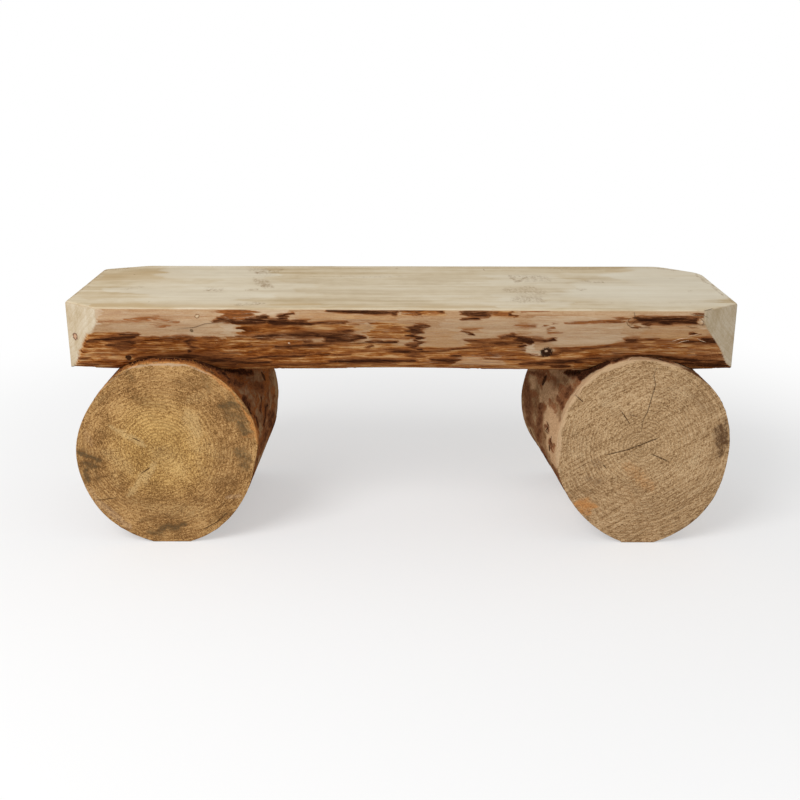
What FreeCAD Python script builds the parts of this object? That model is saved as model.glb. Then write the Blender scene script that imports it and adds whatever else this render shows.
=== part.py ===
"""Rustic log bench: a thick half-log seat scribed over two short logs that lie crosswise under it.

Millimetres. X runs along the seat, Y from the front to the back and Z up. The origin is on the floor, under
the middle of the seat.
"""

import math
import os

import FreeCAD
import Part

Vector = FreeCAD.Vector
UP = Vector(0, 0, 1)
FULL_TURN = 360.0

# Seat: half a log with its bark side down
SEAT_LENGTH = 1220.0
SEAT_DEPTH = 393.0
SEAT_THICKNESS = 145.0
WOOD_OVER_NOTCH = 107.0
SEAT_EDGE_ROUND = 5.0

# Corners of the seat seen from above, as shares of its half length and half depth, and how far each corner is
# worn, as a share of the half depth. The short sides are saw cuts across the corners.
SEAT_CORNER_SHARES = (
    (-0.89, -0.90, 0.01),
    (0.88, -1.00, 0.01),
    (1.00, -0.72, 0.01),
    (1.00, 0.60, 0.25),
    (0.88, 0.95, 0.25),
    (-0.86, 1.00, 0.20),
    (-1.00, 0.82, 0.07),
    (-1.00, -0.64, 0.01),
)

# Half of the log's section, from over the top face round to the middle of the underside: shares of the half
# depth, outwards, and of the thickness, down from the top face
LOG_SIDE_SHARES = (
    (0.62, -0.60),
    (0.92, -0.34),
    (1.000, 0.00),
    (0.985, 0.17),
    (0.920, 0.34),
    (0.865, 0.47),
    (0.800, 0.64),
    (0.740, 0.83),
    (0.600, 0.94),
    (0.330, 0.985),
)

# The log along its length: place along X, sideways shift, half depth, thickness, and how much fuller the
# section grows towards its underside, as shares
LOG_STATION_SHARES = (
    (-1.06, 0.058, 0.955, 0.930, 0.110),
    (-0.70, 0.045, 0.965, 0.985, 0.045),
    (-0.35, 0.028, 0.968, 0.990, -0.020),
    (0.00, 0.012, 0.975, 0.980, -0.050),
    (0.35, -0.004, 0.972, 0.990, -0.040),
    (0.70, -0.018, 0.978, 0.980, -0.010),
    (1.06, -0.032, 0.985, 0.935, 0.000),
)

# Legs: short logs lying front to back
LEG_RADIUS = 178.0
LEG_LENGTH = 364.0
BEARING_DEPTH = 6.0
SCRIBE_CLEARANCE = 0.8

# Outlines of each leg log seen from the front, every 22.5 degrees anticlockwise from its right-hand side, as
# shares of the leg radius, at the front end, the middle and the rear end
LEFT_OUTLINE_SHARES = (
    (0.950, 1.005, 1.020, 1.030, 1.010, 1.000, 0.940, 0.930,
     0.945, 0.955, 0.985, 1.005, 1.030, 1.000, 0.955, 0.930),
    (0.955, 0.995, 1.010, 1.020, 1.010, 0.985, 0.935, 0.925,
     0.945, 0.960, 0.980, 1.005, 1.030, 1.000, 0.975, 0.960),
    (0.965, 0.985, 1.000, 1.010, 1.010, 0.965, 0.930, 0.930,
     0.945, 0.960, 0.980, 1.000, 1.030, 1.010, 0.995, 0.985),
)
RIGHT_OUTLINE_SHARES = (
    (0.900, 0.940, 0.990, 1.005, 1.035, 1.055, 1.005, 0.940,
     0.905, 0.890, 0.905, 0.960, 1.025, 0.990, 0.950, 0.910),
    (0.905, 0.930, 0.960, 0.990, 1.025, 1.035, 1.010, 0.980,
     0.970, 0.970, 0.970, 0.990, 1.025, 0.990, 0.950, 0.910),
    (0.900, 0.920, 0.945, 0.980, 1.020, 1.025, 1.030, 1.040,
     1.055, 1.065, 1.050, 1.020, 1.025, 0.990, 0.950, 0.910),
)
CROWN_INDEX = 4

# Middle of each leg log seen from above, as shares of the half length and half depth of the seat
LEG_PLACE_SHARES = {"left": (-0.712, 0.040), "right": (0.737, 0.020)}
LEG_OUTLINES = {"left": LEFT_OUTLINE_SHARES, "right": RIGHT_OUTLINE_SHARES}

# Lag screws, half inch, driven up through each leg log into the seat
SCREW_DIAMETER = 12.7
SCREW_ROOT_DIAMETER = 9.4
SCREW_LENGTH = 254.0
SCREW_THREAD_LENGTH = 152.0
SCREW_THREAD_PITCH = 4.23
SCREW_POINT_LENGTH = 12.0
SCREW_HEAD_WIDTH = 19.05
SCREW_HEAD_HEIGHT = 8.7
SCREW_GRIP_LENGTH = 68.0
SCREW_HOLE_CLEARANCE = 0.4
THREAD_CLEARANCE = 0.05
THREAD_CREST_WIDTH = 0.5

# Washers under the screw heads
WASHER_DIAMETER = 34.9
WASHER_BORE = 14.3
WASHER_THICKNESS = 2.8

# Counterbores in the underside of the leg logs
COUNTERBORE_DIAMETER = 38.0

# Places of the two screws of a leg, as shares of half the leg length either side of its middle
SCREW_PLACE_SHARES = {"front": -0.44, "rear": 0.44}

# How far a cutting tool runs past the face that it starts from
OVERRUN = 10.0

HALF_LENGTH = SEAT_LENGTH / 2
HALF_DEPTH = SEAT_DEPTH / 2
AXIS_HEIGHT = LEG_RADIUS
CROWN_SHARE = min(min(row[CROWN_INDEX] for row in rows) for rows in LEG_OUTLINES.values())
BEARING_HEIGHT = AXIS_HEIGHT + LEG_RADIUS * CROWN_SHARE - BEARING_DEPTH
SEAT_TOP = BEARING_HEIGHT + WOOD_OVER_NOTCH
SCREW_TIP = BEARING_HEIGHT + SCREW_GRIP_LENGTH
HEAD_SEAT = SCREW_TIP - SCREW_LENGTH
COUNTERBORE_TOP = HEAD_SEAT + WASHER_THICKNESS


def closed_curve(points):
    """A smooth closed wire through the points."""
    curve = Part.BSplineCurve()
    curve.interpolate(Points=points, PeriodicFlag=True)
    return Part.Wire([curve.toShape()])


def rounded_polygon(corners):
    """A closed wire round (place, radius) corners, each rounded with an arc of its radius."""
    edges = []
    ends = []
    for index, (place, radius) in enumerate(corners):
        before = (corners[index - 1][0] - place).normalize()
        after = (corners[(index + 1) % len(corners)][0] - place).normalize()
        half_angle = before.getAngle(after) / 2
        reach = radius / math.tan(half_angle)
        start = place + before * reach
        end = place + after * reach
        inwards = (before + after).normalize()
        middle = place + inwards * (radius / math.sin(half_angle) - radius)
        edges.append(Part.Arc(start, middle, end).toShape())
        ends.append((start, end))
    for index in range(len(corners)):
        edges.append(Part.LineSegment(ends[index - 1][1], ends[index][0]).toShape())
    return Part.Wire(Part.__sortEdges__(edges))


def box_between(low, high):
    """A block from its lowest corner to its highest."""
    size = high - low
    return Part.makeBox(size.x, size.y, size.z, low)


def half_space_box(bottom, top):
    """A block wider than the whole bench, from one height to another."""
    return box_between(Vector(-SEAT_LENGTH, -SEAT_DEPTH, bottom), Vector(SEAT_LENGTH, SEAT_DEPTH, top))


def seat_log(clearance):
    """The log that the seat is sawn from, before its top face and ends are cut, grown by a clearance."""
    sections = []
    for along, shift, half_depth, thickness, fuller in LOG_STATION_SHARES:
        x = along * HALF_LENGTH
        middle = shift * HALF_DEPTH
        reach = half_depth * HALF_DEPTH + clearance
        drop = thickness * SEAT_THICKNESS + clearance
        back = []
        front = []
        for out, down in LOG_SIDE_SHARES:
            width = out * reach * (1 + fuller * down)
            back.append(Vector(x, middle + width, SEAT_TOP - down * drop))
            front.append(Vector(x, middle - width, SEAT_TOP - down * drop))
        bottom = [Vector(x, middle, SEAT_TOP - drop)]
        sections.append(closed_curve(back + bottom + front[::-1]))
    return Part.makeLoft(sections, True, False)


def seat_block():
    """A block with the outline of the seat from above and a worn edge round its top face."""
    corners = []
    for along, across, worn in SEAT_CORNER_SHARES:
        place = Vector(along * HALF_LENGTH, across * HALF_DEPTH, SEAT_TOP - SEAT_THICKNESS - OVERRUN)
        corners.append((place, SEAT_EDGE_ROUND + worn * HALF_DEPTH))
    outline = Part.Face(rounded_polygon(corners))
    block = outline.extrude(UP * (SEAT_THICKNESS + OVERRUN))
    rim = [edge for edge in block.Edges if edge.BoundBox.ZMin > SEAT_TOP - SEAT_EDGE_ROUND]
    return block.makeFillet(SEAT_EDGE_ROUND, rim)


def leg_log(side, clearance):
    """A leg log with its bark face and two sawn ends, grown by a clearance."""
    along, across = LEG_PLACE_SHARES[side]
    rows = LEG_OUTLINES[side]
    sections = []
    for index, shares in enumerate(rows):
        y = across * HALF_DEPTH + LEG_LENGTH * (index / (len(rows) - 1) - 0.5)
        points = []
        for place, share in enumerate(shares):
            angle = 2 * math.pi * place / len(shares)
            radius = share * LEG_RADIUS + clearance
            x = along * HALF_LENGTH + radius * math.cos(angle)
            points.append(Vector(x, y, AXIS_HEIGHT + radius * math.sin(angle)))
        sections.append(closed_curve(points))
    return Part.makeLoft(sections, True, False)


def screw_places(side):
    """Where the two screws of a leg stand, by name."""
    along, across = LEG_PLACE_SHARES[side]
    middle = Vector(along * HALF_LENGTH, across * HALF_DEPTH, 0)
    reach = Vector(0, LEG_LENGTH / 2, 0)
    return {end: middle + reach * share for end, share in SCREW_PLACE_SHARES.items()}


def thread_outline(clearance):
    """Half of a screw's outline over its thread, as (radius, height) points from the shank to the tip."""
    root = SCREW_ROOT_DIAMETER / 2 + clearance
    crest = SCREW_DIAMETER / 2 + clearance
    point_base = SCREW_TIP - SCREW_POINT_LENGTH
    turns = int((SCREW_THREAD_LENGTH - SCREW_POINT_LENGTH) / SCREW_THREAD_PITCH)
    points = []
    for turn in range(turns, 0, -1):
        low = point_base - turn * SCREW_THREAD_PITCH
        middle = low + SCREW_THREAD_PITCH / 2
        points.append((root, low))
        points.append((crest, middle - THREAD_CREST_WIDTH / 2))
        points.append((crest, middle + THREAD_CREST_WIDTH / 2))
    points += [(root, point_base), (0, SCREW_TIP + clearance)]
    return points


def turned(outline, place):
    """A solid turned about the upright line through a place from (radius, height) points."""
    points = [Vector(radius, 0, height) for radius, height in outline]
    face = Part.Face(Part.makePolygon(points + points[:1]))
    solid = face.revolve(Vector(), UP, FULL_TURN)
    return solid.translated(place)


def lag_screw(place):
    """A lag screw standing head down, with its thread in the seat."""
    thread = thread_outline(0)
    shank = SCREW_DIAMETER / 2
    body = turned([(0, HEAD_SEAT), (shank, HEAD_SEAT), (shank, thread[0][1])] + thread, place)
    corner = SCREW_HEAD_WIDTH / 2 / math.cos(math.pi / 6)
    hexagon = []
    for index in range(6):
        angle = index * math.pi / 3
        hexagon.append(place + Vector(corner * math.cos(angle), corner * math.sin(angle), HEAD_SEAT))
    head = Part.Face(Part.makePolygon(hexagon + hexagon[:1])).extrude(UP * -SCREW_HEAD_HEIGHT)
    return body.fuse(head).removeSplitter()


def washer(place):
    """A flat washer between a screw head and the top of its counterbore."""
    base = place + UP * HEAD_SEAT
    disc = Part.makeCylinder(WASHER_DIAMETER / 2, WASHER_THICKNESS, base)
    bore = Part.makeCylinder(WASHER_BORE / 2, WASHER_THICKNESS, base)
    return disc.cut(bore)


def seat_hole(place):
    """What a screw takes out of the seat: its thread and point, from below the notch to the tip."""
    thread = thread_outline(THREAD_CLEARANCE)
    tool = turned([(0, thread[0][1])] + thread, place)
    return tool.common(half_space_box(BEARING_HEIGHT - OVERRUN, SEAT_TOP))


def leg_hole(place):
    """The counterbore from the floor and the clearance hole above it."""
    counterbore = Part.makeCylinder(COUNTERBORE_DIAMETER / 2, COUNTERBORE_TOP + OVERRUN, place - UP * OVERRUN)
    radius = SCREW_DIAMETER / 2 + SCREW_HOLE_CLEARANCE
    hole = Part.makeCylinder(radius, BEARING_HEIGHT + OVERRUN, place)
    return counterbore.fuse(hole)


def seat_slab():
    """The seat: sawn on top, cut at the corners, and scribed underneath over both leg logs."""
    slab = seat_log(0).common(seat_block())
    under = half_space_box(-OVERRUN, BEARING_HEIGHT)
    for side in LEG_PLACE_SHARES:
        slab = slab.cut(leg_log(side, SCRIBE_CLEARANCE).common(under))
        for place in screw_places(side).values():
            slab = slab.cut(seat_hole(place))
    return slab


def leg(side):
    """A leg log with a sawn foot, a flat on its crown that carries the seat, and its screw holes."""
    above_floor = half_space_box(0, SEAT_TOP)
    over_bearing = half_space_box(BEARING_HEIGHT, SEAT_TOP)
    log = leg_log(side, 0).common(above_floor)
    log = log.cut(seat_log(SCRIBE_CLEARANCE).common(over_bearing))
    for place in screw_places(side).values():
        log = log.cut(leg_hole(place))
    return log


def save(name, shape):
    """Writes one node and prints what it holds."""
    solids = shape.Solids
    if not shape.isValid() or not solids:
        raise ValueError(name + " is not a valid solid")
    body = solids[0] if len(solids) == 1 else Part.makeCompound(solids)
    body.exportStep(os.path.join("parts", name + ".step"))
    box = body.BoundBox
    print(
        f"{name}: {len(solids)} solid, {body.Volume / 1e6:.3f} litres, "
        f"X {box.XMin:.1f} {box.XMax:.1f}, Y {box.YMin:.1f} {box.YMax:.1f}, Z {box.ZMin:.1f} {box.ZMax:.1f}"
    )


def main():
    os.makedirs("parts", exist_ok=True)
    save("seat_slab", seat_slab())
    for side in LEG_PLACE_SHARES:
        save("leg_log_" + side, leg(side))
        for end, place in screw_places(side).items():
            save(f"lag_screw_{side}_{end}", lag_screw(place))
            save(f"washer_{side}_{end}", washer(place))


main()
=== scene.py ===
"""Rustic log bench: the looks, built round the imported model. Lengths in the working code are millimetres."""

import math

import bmesh
import bpy
import numpy as np
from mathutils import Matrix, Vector
from mathutils.bvhtree import BVHTree


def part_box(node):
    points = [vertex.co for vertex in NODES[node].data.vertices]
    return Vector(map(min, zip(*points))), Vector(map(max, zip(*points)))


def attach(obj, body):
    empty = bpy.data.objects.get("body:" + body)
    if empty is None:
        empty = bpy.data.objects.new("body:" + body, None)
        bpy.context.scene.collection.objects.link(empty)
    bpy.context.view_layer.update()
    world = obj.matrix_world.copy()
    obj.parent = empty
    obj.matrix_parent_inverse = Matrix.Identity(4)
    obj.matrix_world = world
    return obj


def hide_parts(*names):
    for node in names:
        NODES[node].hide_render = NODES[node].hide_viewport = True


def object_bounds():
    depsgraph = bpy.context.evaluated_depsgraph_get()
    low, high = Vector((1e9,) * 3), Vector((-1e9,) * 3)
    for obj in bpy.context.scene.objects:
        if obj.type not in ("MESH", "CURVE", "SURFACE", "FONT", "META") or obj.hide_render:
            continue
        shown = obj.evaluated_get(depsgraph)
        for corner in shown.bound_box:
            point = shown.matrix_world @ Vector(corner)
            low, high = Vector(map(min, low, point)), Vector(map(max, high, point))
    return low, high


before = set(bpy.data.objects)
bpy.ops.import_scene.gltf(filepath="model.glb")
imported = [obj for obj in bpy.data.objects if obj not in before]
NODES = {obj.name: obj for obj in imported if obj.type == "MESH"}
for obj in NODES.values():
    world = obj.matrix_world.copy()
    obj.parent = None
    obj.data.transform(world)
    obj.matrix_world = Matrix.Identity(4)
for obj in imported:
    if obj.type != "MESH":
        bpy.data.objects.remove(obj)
cad_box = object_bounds()
MM = 0.001

# Camera, in front of the bench and looking down a little

LENS_LENGTH = 50
SENSOR_WIDTH = 36
CAMERA_PLACE = np.array([0.0, -2099.0, 926.0])
FOCAL_PIXELS = 1111.11
FRAME_CENTRE = 400.0
HORIZON_ABOVE_CENTRE = 370
CAMERA_PITCH = math.atan(HORIZON_ABOVE_CENTRE / FOCAL_PIXELS)

camera_data = bpy.data.cameras.new("camera")
camera_data.lens = LENS_LENGTH
camera_data.sensor_width = SENSOR_WIDTH
camera = bpy.data.objects.new("camera", camera_data)
camera.location = CAMERA_PLACE * MM
camera.rotation_euler = (math.pi / 2 - CAMERA_PITCH, 0, 0)
bpy.context.scene.collection.objects.link(camera)
bpy.context.scene.camera = camera


# Numbers on points

# A 32-bit word, and odd numbers that scatter neighbouring places far apart in it
WORD = 2 ** 32
SCATTER_X = 374761393
SCATTER_Y = 668265263
SCATTER_Z = 2246822519
SCATTER_SEED = 3266489917
# Moves all places to positive cells before they are rounded down
NOISE_SHIFT = 1000.0


def smooth(low, high, value):
    """0 at low, 1 at high, level outside them and an S curve between."""
    t = np.clip((value - low) / (high - low), 0, 1)
    return t * t * (3 - 2 * t)


def lattice(ix, iy, iz, seed):
    """A repeatable random number from 0 to 1 at each whole-number place."""
    with np.errstate(over="ignore"):
        h = ix.astype(np.uint32) * np.uint32(SCATTER_X)
        h = h + iy.astype(np.uint32) * np.uint32(SCATTER_Y)
        h = h + iz.astype(np.uint32) * np.uint32(SCATTER_Z)
        h = h + np.uint32((seed * SCATTER_SEED) % WORD)
        h = (h ^ (h >> np.uint32(15))) * np.uint32(SCATTER_Z)
        h = (h ^ (h >> np.uint32(13))) * np.uint32(SCATTER_SEED)
        h = h ^ (h >> np.uint32(16))
    return h.astype(np.float64) / (WORD - 1)


def noise(points, size, seed=0):
    """Smooth noise from -1 to 1 with features of the given size along each axis."""
    p = points / np.asarray(size, float) + NOISE_SHIFT
    cell = np.floor(p).astype(np.int64)
    f = p - cell
    f = f * f * f * (f * (f * 6 - 15) + 10)
    total = 0.0
    for dx in (0, 1):
        wx = f[:, 0] if dx else 1 - f[:, 0]
        for dy in (0, 1):
            wy = f[:, 1] if dy else 1 - f[:, 1]
            for dz in (0, 1):
                wz = f[:, 2] if dz else 1 - f[:, 2]
                corner = lattice(cell[:, 0] + dx, cell[:, 1] + dy, cell[:, 2] + dz, seed)
                total = total + wx * wy * wz * corner
    return total * 2 - 1


def layered(points, size, seed=0, layers=3, gain=0.5):
    """Noise with finer noise laid over it."""
    total = 0.0
    weight = 1.0
    size = np.asarray(size, float)
    for layer in range(layers):
        total = total + weight * noise(points, size / 2 ** layer, seed + 17 * layer)
        weight = weight * gain
    return total


def to_frame(points):
    """Where points fall in the 800 by 800 picture."""
    d = points - CAMERA_PLACE
    c, s = math.cos(CAMERA_PITCH), math.sin(CAMERA_PITCH)
    depth = d[:, 1] * c - d[:, 2] * s
    rise = d[:, 1] * s + d[:, 2] * c
    x = FRAME_CENTRE + FOCAL_PIXELS * d[:, 0] / depth
    y = FRAME_CENTRE - FOCAL_PIXELS * rise / depth
    return np.stack([x, y], 1)


def from_frame(x, y, plane_y):
    """The point on an upright plane that a place in the picture shows."""
    c, s = math.cos(CAMERA_PITCH), math.sin(CAMERA_PITCH)
    right = (x - FRAME_CENTRE) / FOCAL_PIXELS
    up = -(y - FRAME_CENTRE) / FOCAL_PIXELS
    ray = np.array([right, c + up * s, -s + up * c])
    return CAMERA_PLACE + ray * (plane_y - CAMERA_PLACE[1]) / ray[1]


def strokes(places, table, soft=0.6):
    """The strongest of many tapered strokes at each place: x0, y0, x1, y1, half width and strength."""
    best = np.zeros(len(places))
    for x0, y0, x1, y1, half, strength in table:
        reach = half * 2.2 + 2
        near = (places[:, 0] > min(x0, x1) - reach) & (places[:, 0] < max(x0, x1) + reach)
        near &= (places[:, 1] > min(y0, y1) - reach) & (places[:, 1] < max(y0, y1) + reach)
        where = np.nonzero(near)[0]
        if not len(where):
            continue
        p = places[where]
        line = np.array([x1 - x0, y1 - y0], float)
        length = max(math.hypot(*line), 1e-6)
        t = np.clip(((p[:, 0] - x0) * line[0] + (p[:, 1] - y0) * line[1]) / length ** 2, 0, 1)
        gap = np.hypot(p[:, 0] - x0 - t * line[0], p[:, 1] - y0 - t * line[1])
        edge = half * (0.55 + 0.45 * np.sqrt(np.clip(4 * t * (1 - t), 0, 1)))
        value = strength * (1 - smooth(1 - soft, 1 + soft, gap / edge))
        best[where] = np.maximum(best[where], value)
    return best


# Meshes on a grid


def make_object(name, points, faces, smooth_shading=True):
    """An object from points in millimetres, with its faces turned outwards."""
    mesh = bpy.data.meshes.new(name)
    mesh.from_pydata((points * MM).tolist(), [], faces)
    mesh.validate()
    shell = bmesh.new()
    shell.from_mesh(mesh)
    bmesh.ops.recalc_face_normals(shell, faces=shell.faces)
    shell.to_mesh(mesh)
    shell.free()
    mesh.update()
    if smooth_shading:
        mesh.polygons.foreach_set("use_smooth", [True] * len(mesh.polygons))
    made = bpy.data.objects.new(name, mesh)
    bpy.context.scene.collection.objects.link(made)
    return made


def places_of(mesh):
    flat = np.zeros(len(mesh.vertices) * 3)
    mesh.vertices.foreach_get("co", flat)
    return flat.reshape(-1, 3) / MM


def normals_of(mesh):
    flat = np.zeros(len(mesh.vertices) * 3)
    mesh.vertices.foreach_get("normal", flat)
    return flat.reshape(-1, 3)


def set_places(mesh, points):
    mesh.vertices.foreach_set("co", (points * MM).astype(np.float32).ravel())
    mesh.update()


def set_field(mesh, name, values):
    """A number at each point of a mesh, which its material reads by name."""
    field = mesh.attributes.new(name, "FLOAT", "POINT")
    field.data.foreach_set("value", np.asarray(values, np.float32))


def tube_faces(columns, rows):
    """Quads of a tube of columns rings with rows points each."""
    a = np.arange(columns - 1)[:, None] * rows + np.arange(rows)[None, :]
    b = np.arange(columns - 1)[:, None] * rows + (np.arange(rows)[None, :] + 1) % rows
    return np.stack([a, b, b + rows, a + rows], 2).reshape(-1, 4).tolist()


def cap(points, faces, ring, centre, shares, flip):
    """Closes a ring of points with smaller and smaller copies of itself round a centre."""
    count = len(ring)
    layers = [centre + (points[ring] - centre) * share for share in shares]
    start = len(points)
    rows = [ring] + [start + index * count + np.arange(count) for index in range(len(shares))]
    for a, b in zip(rows[:-1], rows[1:]):
        an, bn = np.roll(a, -1), np.roll(b, -1)
        quad = np.stack([a, an, bn, b] if flip else [b, bn, an, a], 1)
        faces.extend(quad.tolist())
    last = rows[-1]
    after = np.roll(last, -1)
    tips = np.full(count, start + len(shares) * count)
    faces.extend(np.stack([last, after, tips] if flip else [tips, after, last], 1).tolist())
    return np.concatenate([points] + layers + [centre[None, :]])


def tree_of(made):
    """The surface of an object, ready to be met by rays."""
    mesh = made.data
    return BVHTree.FromPolygons([v.co for v in mesh.vertices], [p.vertices[:] for p in mesh.polygons])


# Facts of each leg: its pith in the photograph, the x of its screws, the y of its middle and a seed for its
# noise; flats on its round side as degrees round from the right, half width and depth; the spacing of its
# rings, the turn and strength of its saw marks, and how crisp and how fuzzy its end grain is
LEGS = {
    "left": {
        "pith": (159.5, 450.0), "axis": -434.3, "middle": 7.9, "seed": 11,
        "flats": ((191, 10, 2.4),),
        "spacing": 6.2, "saw": 0.35, "sawn": 0.22, "crisp": 1.45, "fuzz": 0.46,
    },
    "right": {
        "pith": (640.0, 447.0), "axis": 449.6, "middle": 3.9, "seed": 23,
        "flats": ((246, 40, 1.3), (234, 8, 1.0)),
        "spacing": 6.0, "saw": 0.55, "sawn": 0.50, "crisp": 1.10, "fuzz": 0.32,
    },
}


# Seat

SEAT_LENGTH = 1220.0
SEAT_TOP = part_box("seat_slab")[1].z / MM
BEARING_HEIGHT = SEAT_TOP - 107.0
# Rays towards a level spine inside the log find its outline
SPINE_HEIGHT = SEAT_TOP - 52.0
SPINE_HALF = 80.0
CAST_HALF = 230
CAST_ABOVE = 25
CAST_BELOW = 175
CAST_STEP = 2.0
# Outlines are read closer together towards both ends, where the corners are cut
SEAT_EDGE_STEPS = (0.06, 0.5, 1.3, 2.5, 4.0, 6.0, 8.5, 11.5)
SEAT_END_FIRST = 14.5
SEAT_END_LAST = 92
SEAT_END_STEP = 2.9
SEAT_MIDDLE_STEP = 3.25
# How many points each side of the outline has
SEAT_RUNS = (("top", 58), ("front", 80), ("under", 32), ("back", 38))
CORNER_LEAN = 1.6
SCREW_HOLE_REACH = 12
SEAT_CAP_SHARES = [0.985, 0.965, 0.94, 0.91] + list(np.linspace(0.875, 0.06, 17))
SEAT_CAP_DEPTH = 62


def seat_stations():
    """The places along the seat where its outline is read."""
    half = SEAT_LENGTH / 2
    ends = [half - step for step in SEAT_EDGE_STEPS]
    ends += list(np.arange(half - SEAT_END_FIRST, half - SEAT_END_LAST, -SEAT_END_STEP))
    start = ends[-1]
    count = int(round(2 * start / SEAT_MIDDLE_STEP))
    middle = list(np.linspace(start, -start, count + 1))[1:-1]
    return np.array(ends + middle + [-x for x in ends[::-1]])[::-1]


def eased(count, pull=0.55):
    """Places from 0 up to 1 that crowd towards both ends."""
    t = np.arange(count) / count
    return t * (1 - pull) + pull * (0.5 - 0.5 * np.cos(math.pi * t))


def seat_section(tree, x):
    """The outline of the CAD seat at x, as points anticlockwise from the rear top edge seen from +X."""
    above, below = SEAT_TOP + CAST_ABOVE, SEAT_TOP - CAST_BELOW
    targets = [(y, above) for y in np.arange(CAST_HALF, -CAST_HALF, -CAST_STEP)]
    targets += [(-CAST_HALF, z) for z in np.arange(above, below, -CAST_STEP)]
    targets += [(y, below) for y in np.arange(-CAST_HALF, CAST_HALF, CAST_STEP)]
    targets += [(CAST_HALF, z) for z in np.arange(below, above, CAST_STEP)]
    outline = []
    for y, z in targets:
        foot = max(-SPINE_HALF, min(SPINE_HALF, y))
        ray = Vector((0, foot - y, SPINE_HEIGHT - z)).normalized()
        place = tree.ray_cast(Vector((x, y, z)) * MM, ray)[0]
        if place is not None:
            outline.append((place.y / MM, place.z / MM))
    return np.array(outline)


def resample(run, shares):
    """Points along a run of points at shares of its length."""
    step = np.hypot(*np.diff(run, axis=0).T)
    along = np.concatenate([[0], np.cumsum(step)])
    want = shares * along[-1]
    return np.stack([np.interp(want, along, run[:, 0]), np.interp(want, along, run[:, 1])], 1)


def outline_runs(outline):
    """The outline's four sides, between its corners, each with its own number of points."""
    y, z = outline[:, 0], outline[:, 1]
    scores = (y + z, z - y, -y - CORNER_LEAN * z, y - CORNER_LEAN * z)
    corners = [np.argmax(score) for score in scores]
    ring = []
    for index, (_, count) in enumerate(SEAT_RUNS):
        a, b = corners[index], corners[(index + 1) % 4]
        run = outline[a:b + 1] if b > a else np.concatenate([outline[a:], outline[:b + 1]])
        ring.append(resample(run, eased(count)))
    return np.concatenate(ring)


def build_seat():
    tree = tree_of(NODES["seat_slab"])
    stations = seat_stations()
    rings = np.array([outline_runs(seat_section(tree, x)) for x in stations])
    # rays that ran up a screw hole stop at the notch floor
    first = SEAT_RUNS[0][1] + SEAT_RUNS[1][1]
    last = first + SEAT_RUNS[2][1]
    near_hole = [min(abs(x - LEGS[side]["axis"]) for side in LEGS) < SCREW_HOLE_REACH for x in stations]
    rings[near_hole, first:last, 1] = np.minimum(rings[near_hole, first:last, 1], BEARING_HEIGHT + 0.5)
    stations = stations.copy()
    stations[0], stations[-1] = -SEAT_LENGTH / 2, SEAT_LENGTH / 2
    rows = rings.shape[1]
    points = np.concatenate([np.repeat(stations, rows)[:, None], rings.reshape(-1, 2)], 1)
    faces = tube_faces(len(stations), rows)
    for station, flip in ((0, False), (len(stations) - 1, True)):
        ring = np.arange(station * rows, (station + 1) * rows)
        centre = np.array([stations[station], np.mean(points[ring, 1]), SEAT_TOP - SEAT_CAP_DEPTH])
        points = cap(points, faces, ring, centre, SEAT_CAP_SHARES, flip)
    return make_object("seat", points, faces)


seat = build_seat()


# Legs

LOG_RADIUS = 175
SPOKES = 384
LEG_EDGE_STEPS = (0.05, 0.7, 1.7, 3.2, 5.2, 7.8)
LEG_MIDDLE_COLUMNS = 96
LEG_MIDDLE_FROM = 11
# Rays come in from outside the log, and a ray that slips past it tries again a little beside its place
RAY_START = 320
RAY_NUDGES = (0, 0.02, -0.02, 0.05, -0.3, 0.3)
STEEP = 0.7
COUNTERBORE_REACH = 30
# How much each ring near an end is worn in
RIM_WEAR = ((0, 0.9), (1, 0.4), (2, 0.1), (-1, 0.9), (-2, 0.4), (-3, 0.1))
FRONT_CAP_SHARES = list(1 - np.array([1.2, 2.8, 5.0, 7.6]) / LOG_RADIUS) + list(np.linspace(0.94, 0.02, 50))
REAR_CAP_SHARES = list(1 - np.array([1.5, 4.5]) / LOG_RADIUS) + list(np.linspace(0.945, 0.03, 34))


def met_from_outside(tree, px, pz, y, ray):
    """Where a ray towards the pith meets the CAD leg, as x and z, or None."""
    for nudge in RAY_NUDGES:
        start = Vector((px * MM, (y + nudge) * MM, pz * MM)) + ray * RAY_START * MM
        place = tree.ray_cast(start, -ray)[0]
        if place is not None:
            return place.x / MM, place.z / MM
    return None


def leg_ring(tree, px, pz, y, axis):
    """The leg's outline at y. Rays that ran up a screw hole stop at the foot or at the crown."""
    ring = []
    for angle in np.arange(SPOKES) * 2 * math.pi / SPOKES:
        ray = Vector((math.cos(angle), 0, math.sin(angle)))
        x, z = met_from_outside(tree, px, pz, y, ray) or (ring[-1][0], ring[-1][2])
        beside = abs(x - axis)
        if ray.z < -STEEP and z > 1.0 and beside < COUNTERBORE_REACH:
            x, z = px + pz * ray.x / -ray.z, 0.0
        if ray.z > STEEP and z < BEARING_HEIGHT - 3 and beside < SCREW_HOLE_REACH:
            x, z = px + (BEARING_HEIGHT - pz) * ray.x / ray.z, BEARING_HEIGHT
        ring.append((x, y, z))
    return ring


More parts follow.
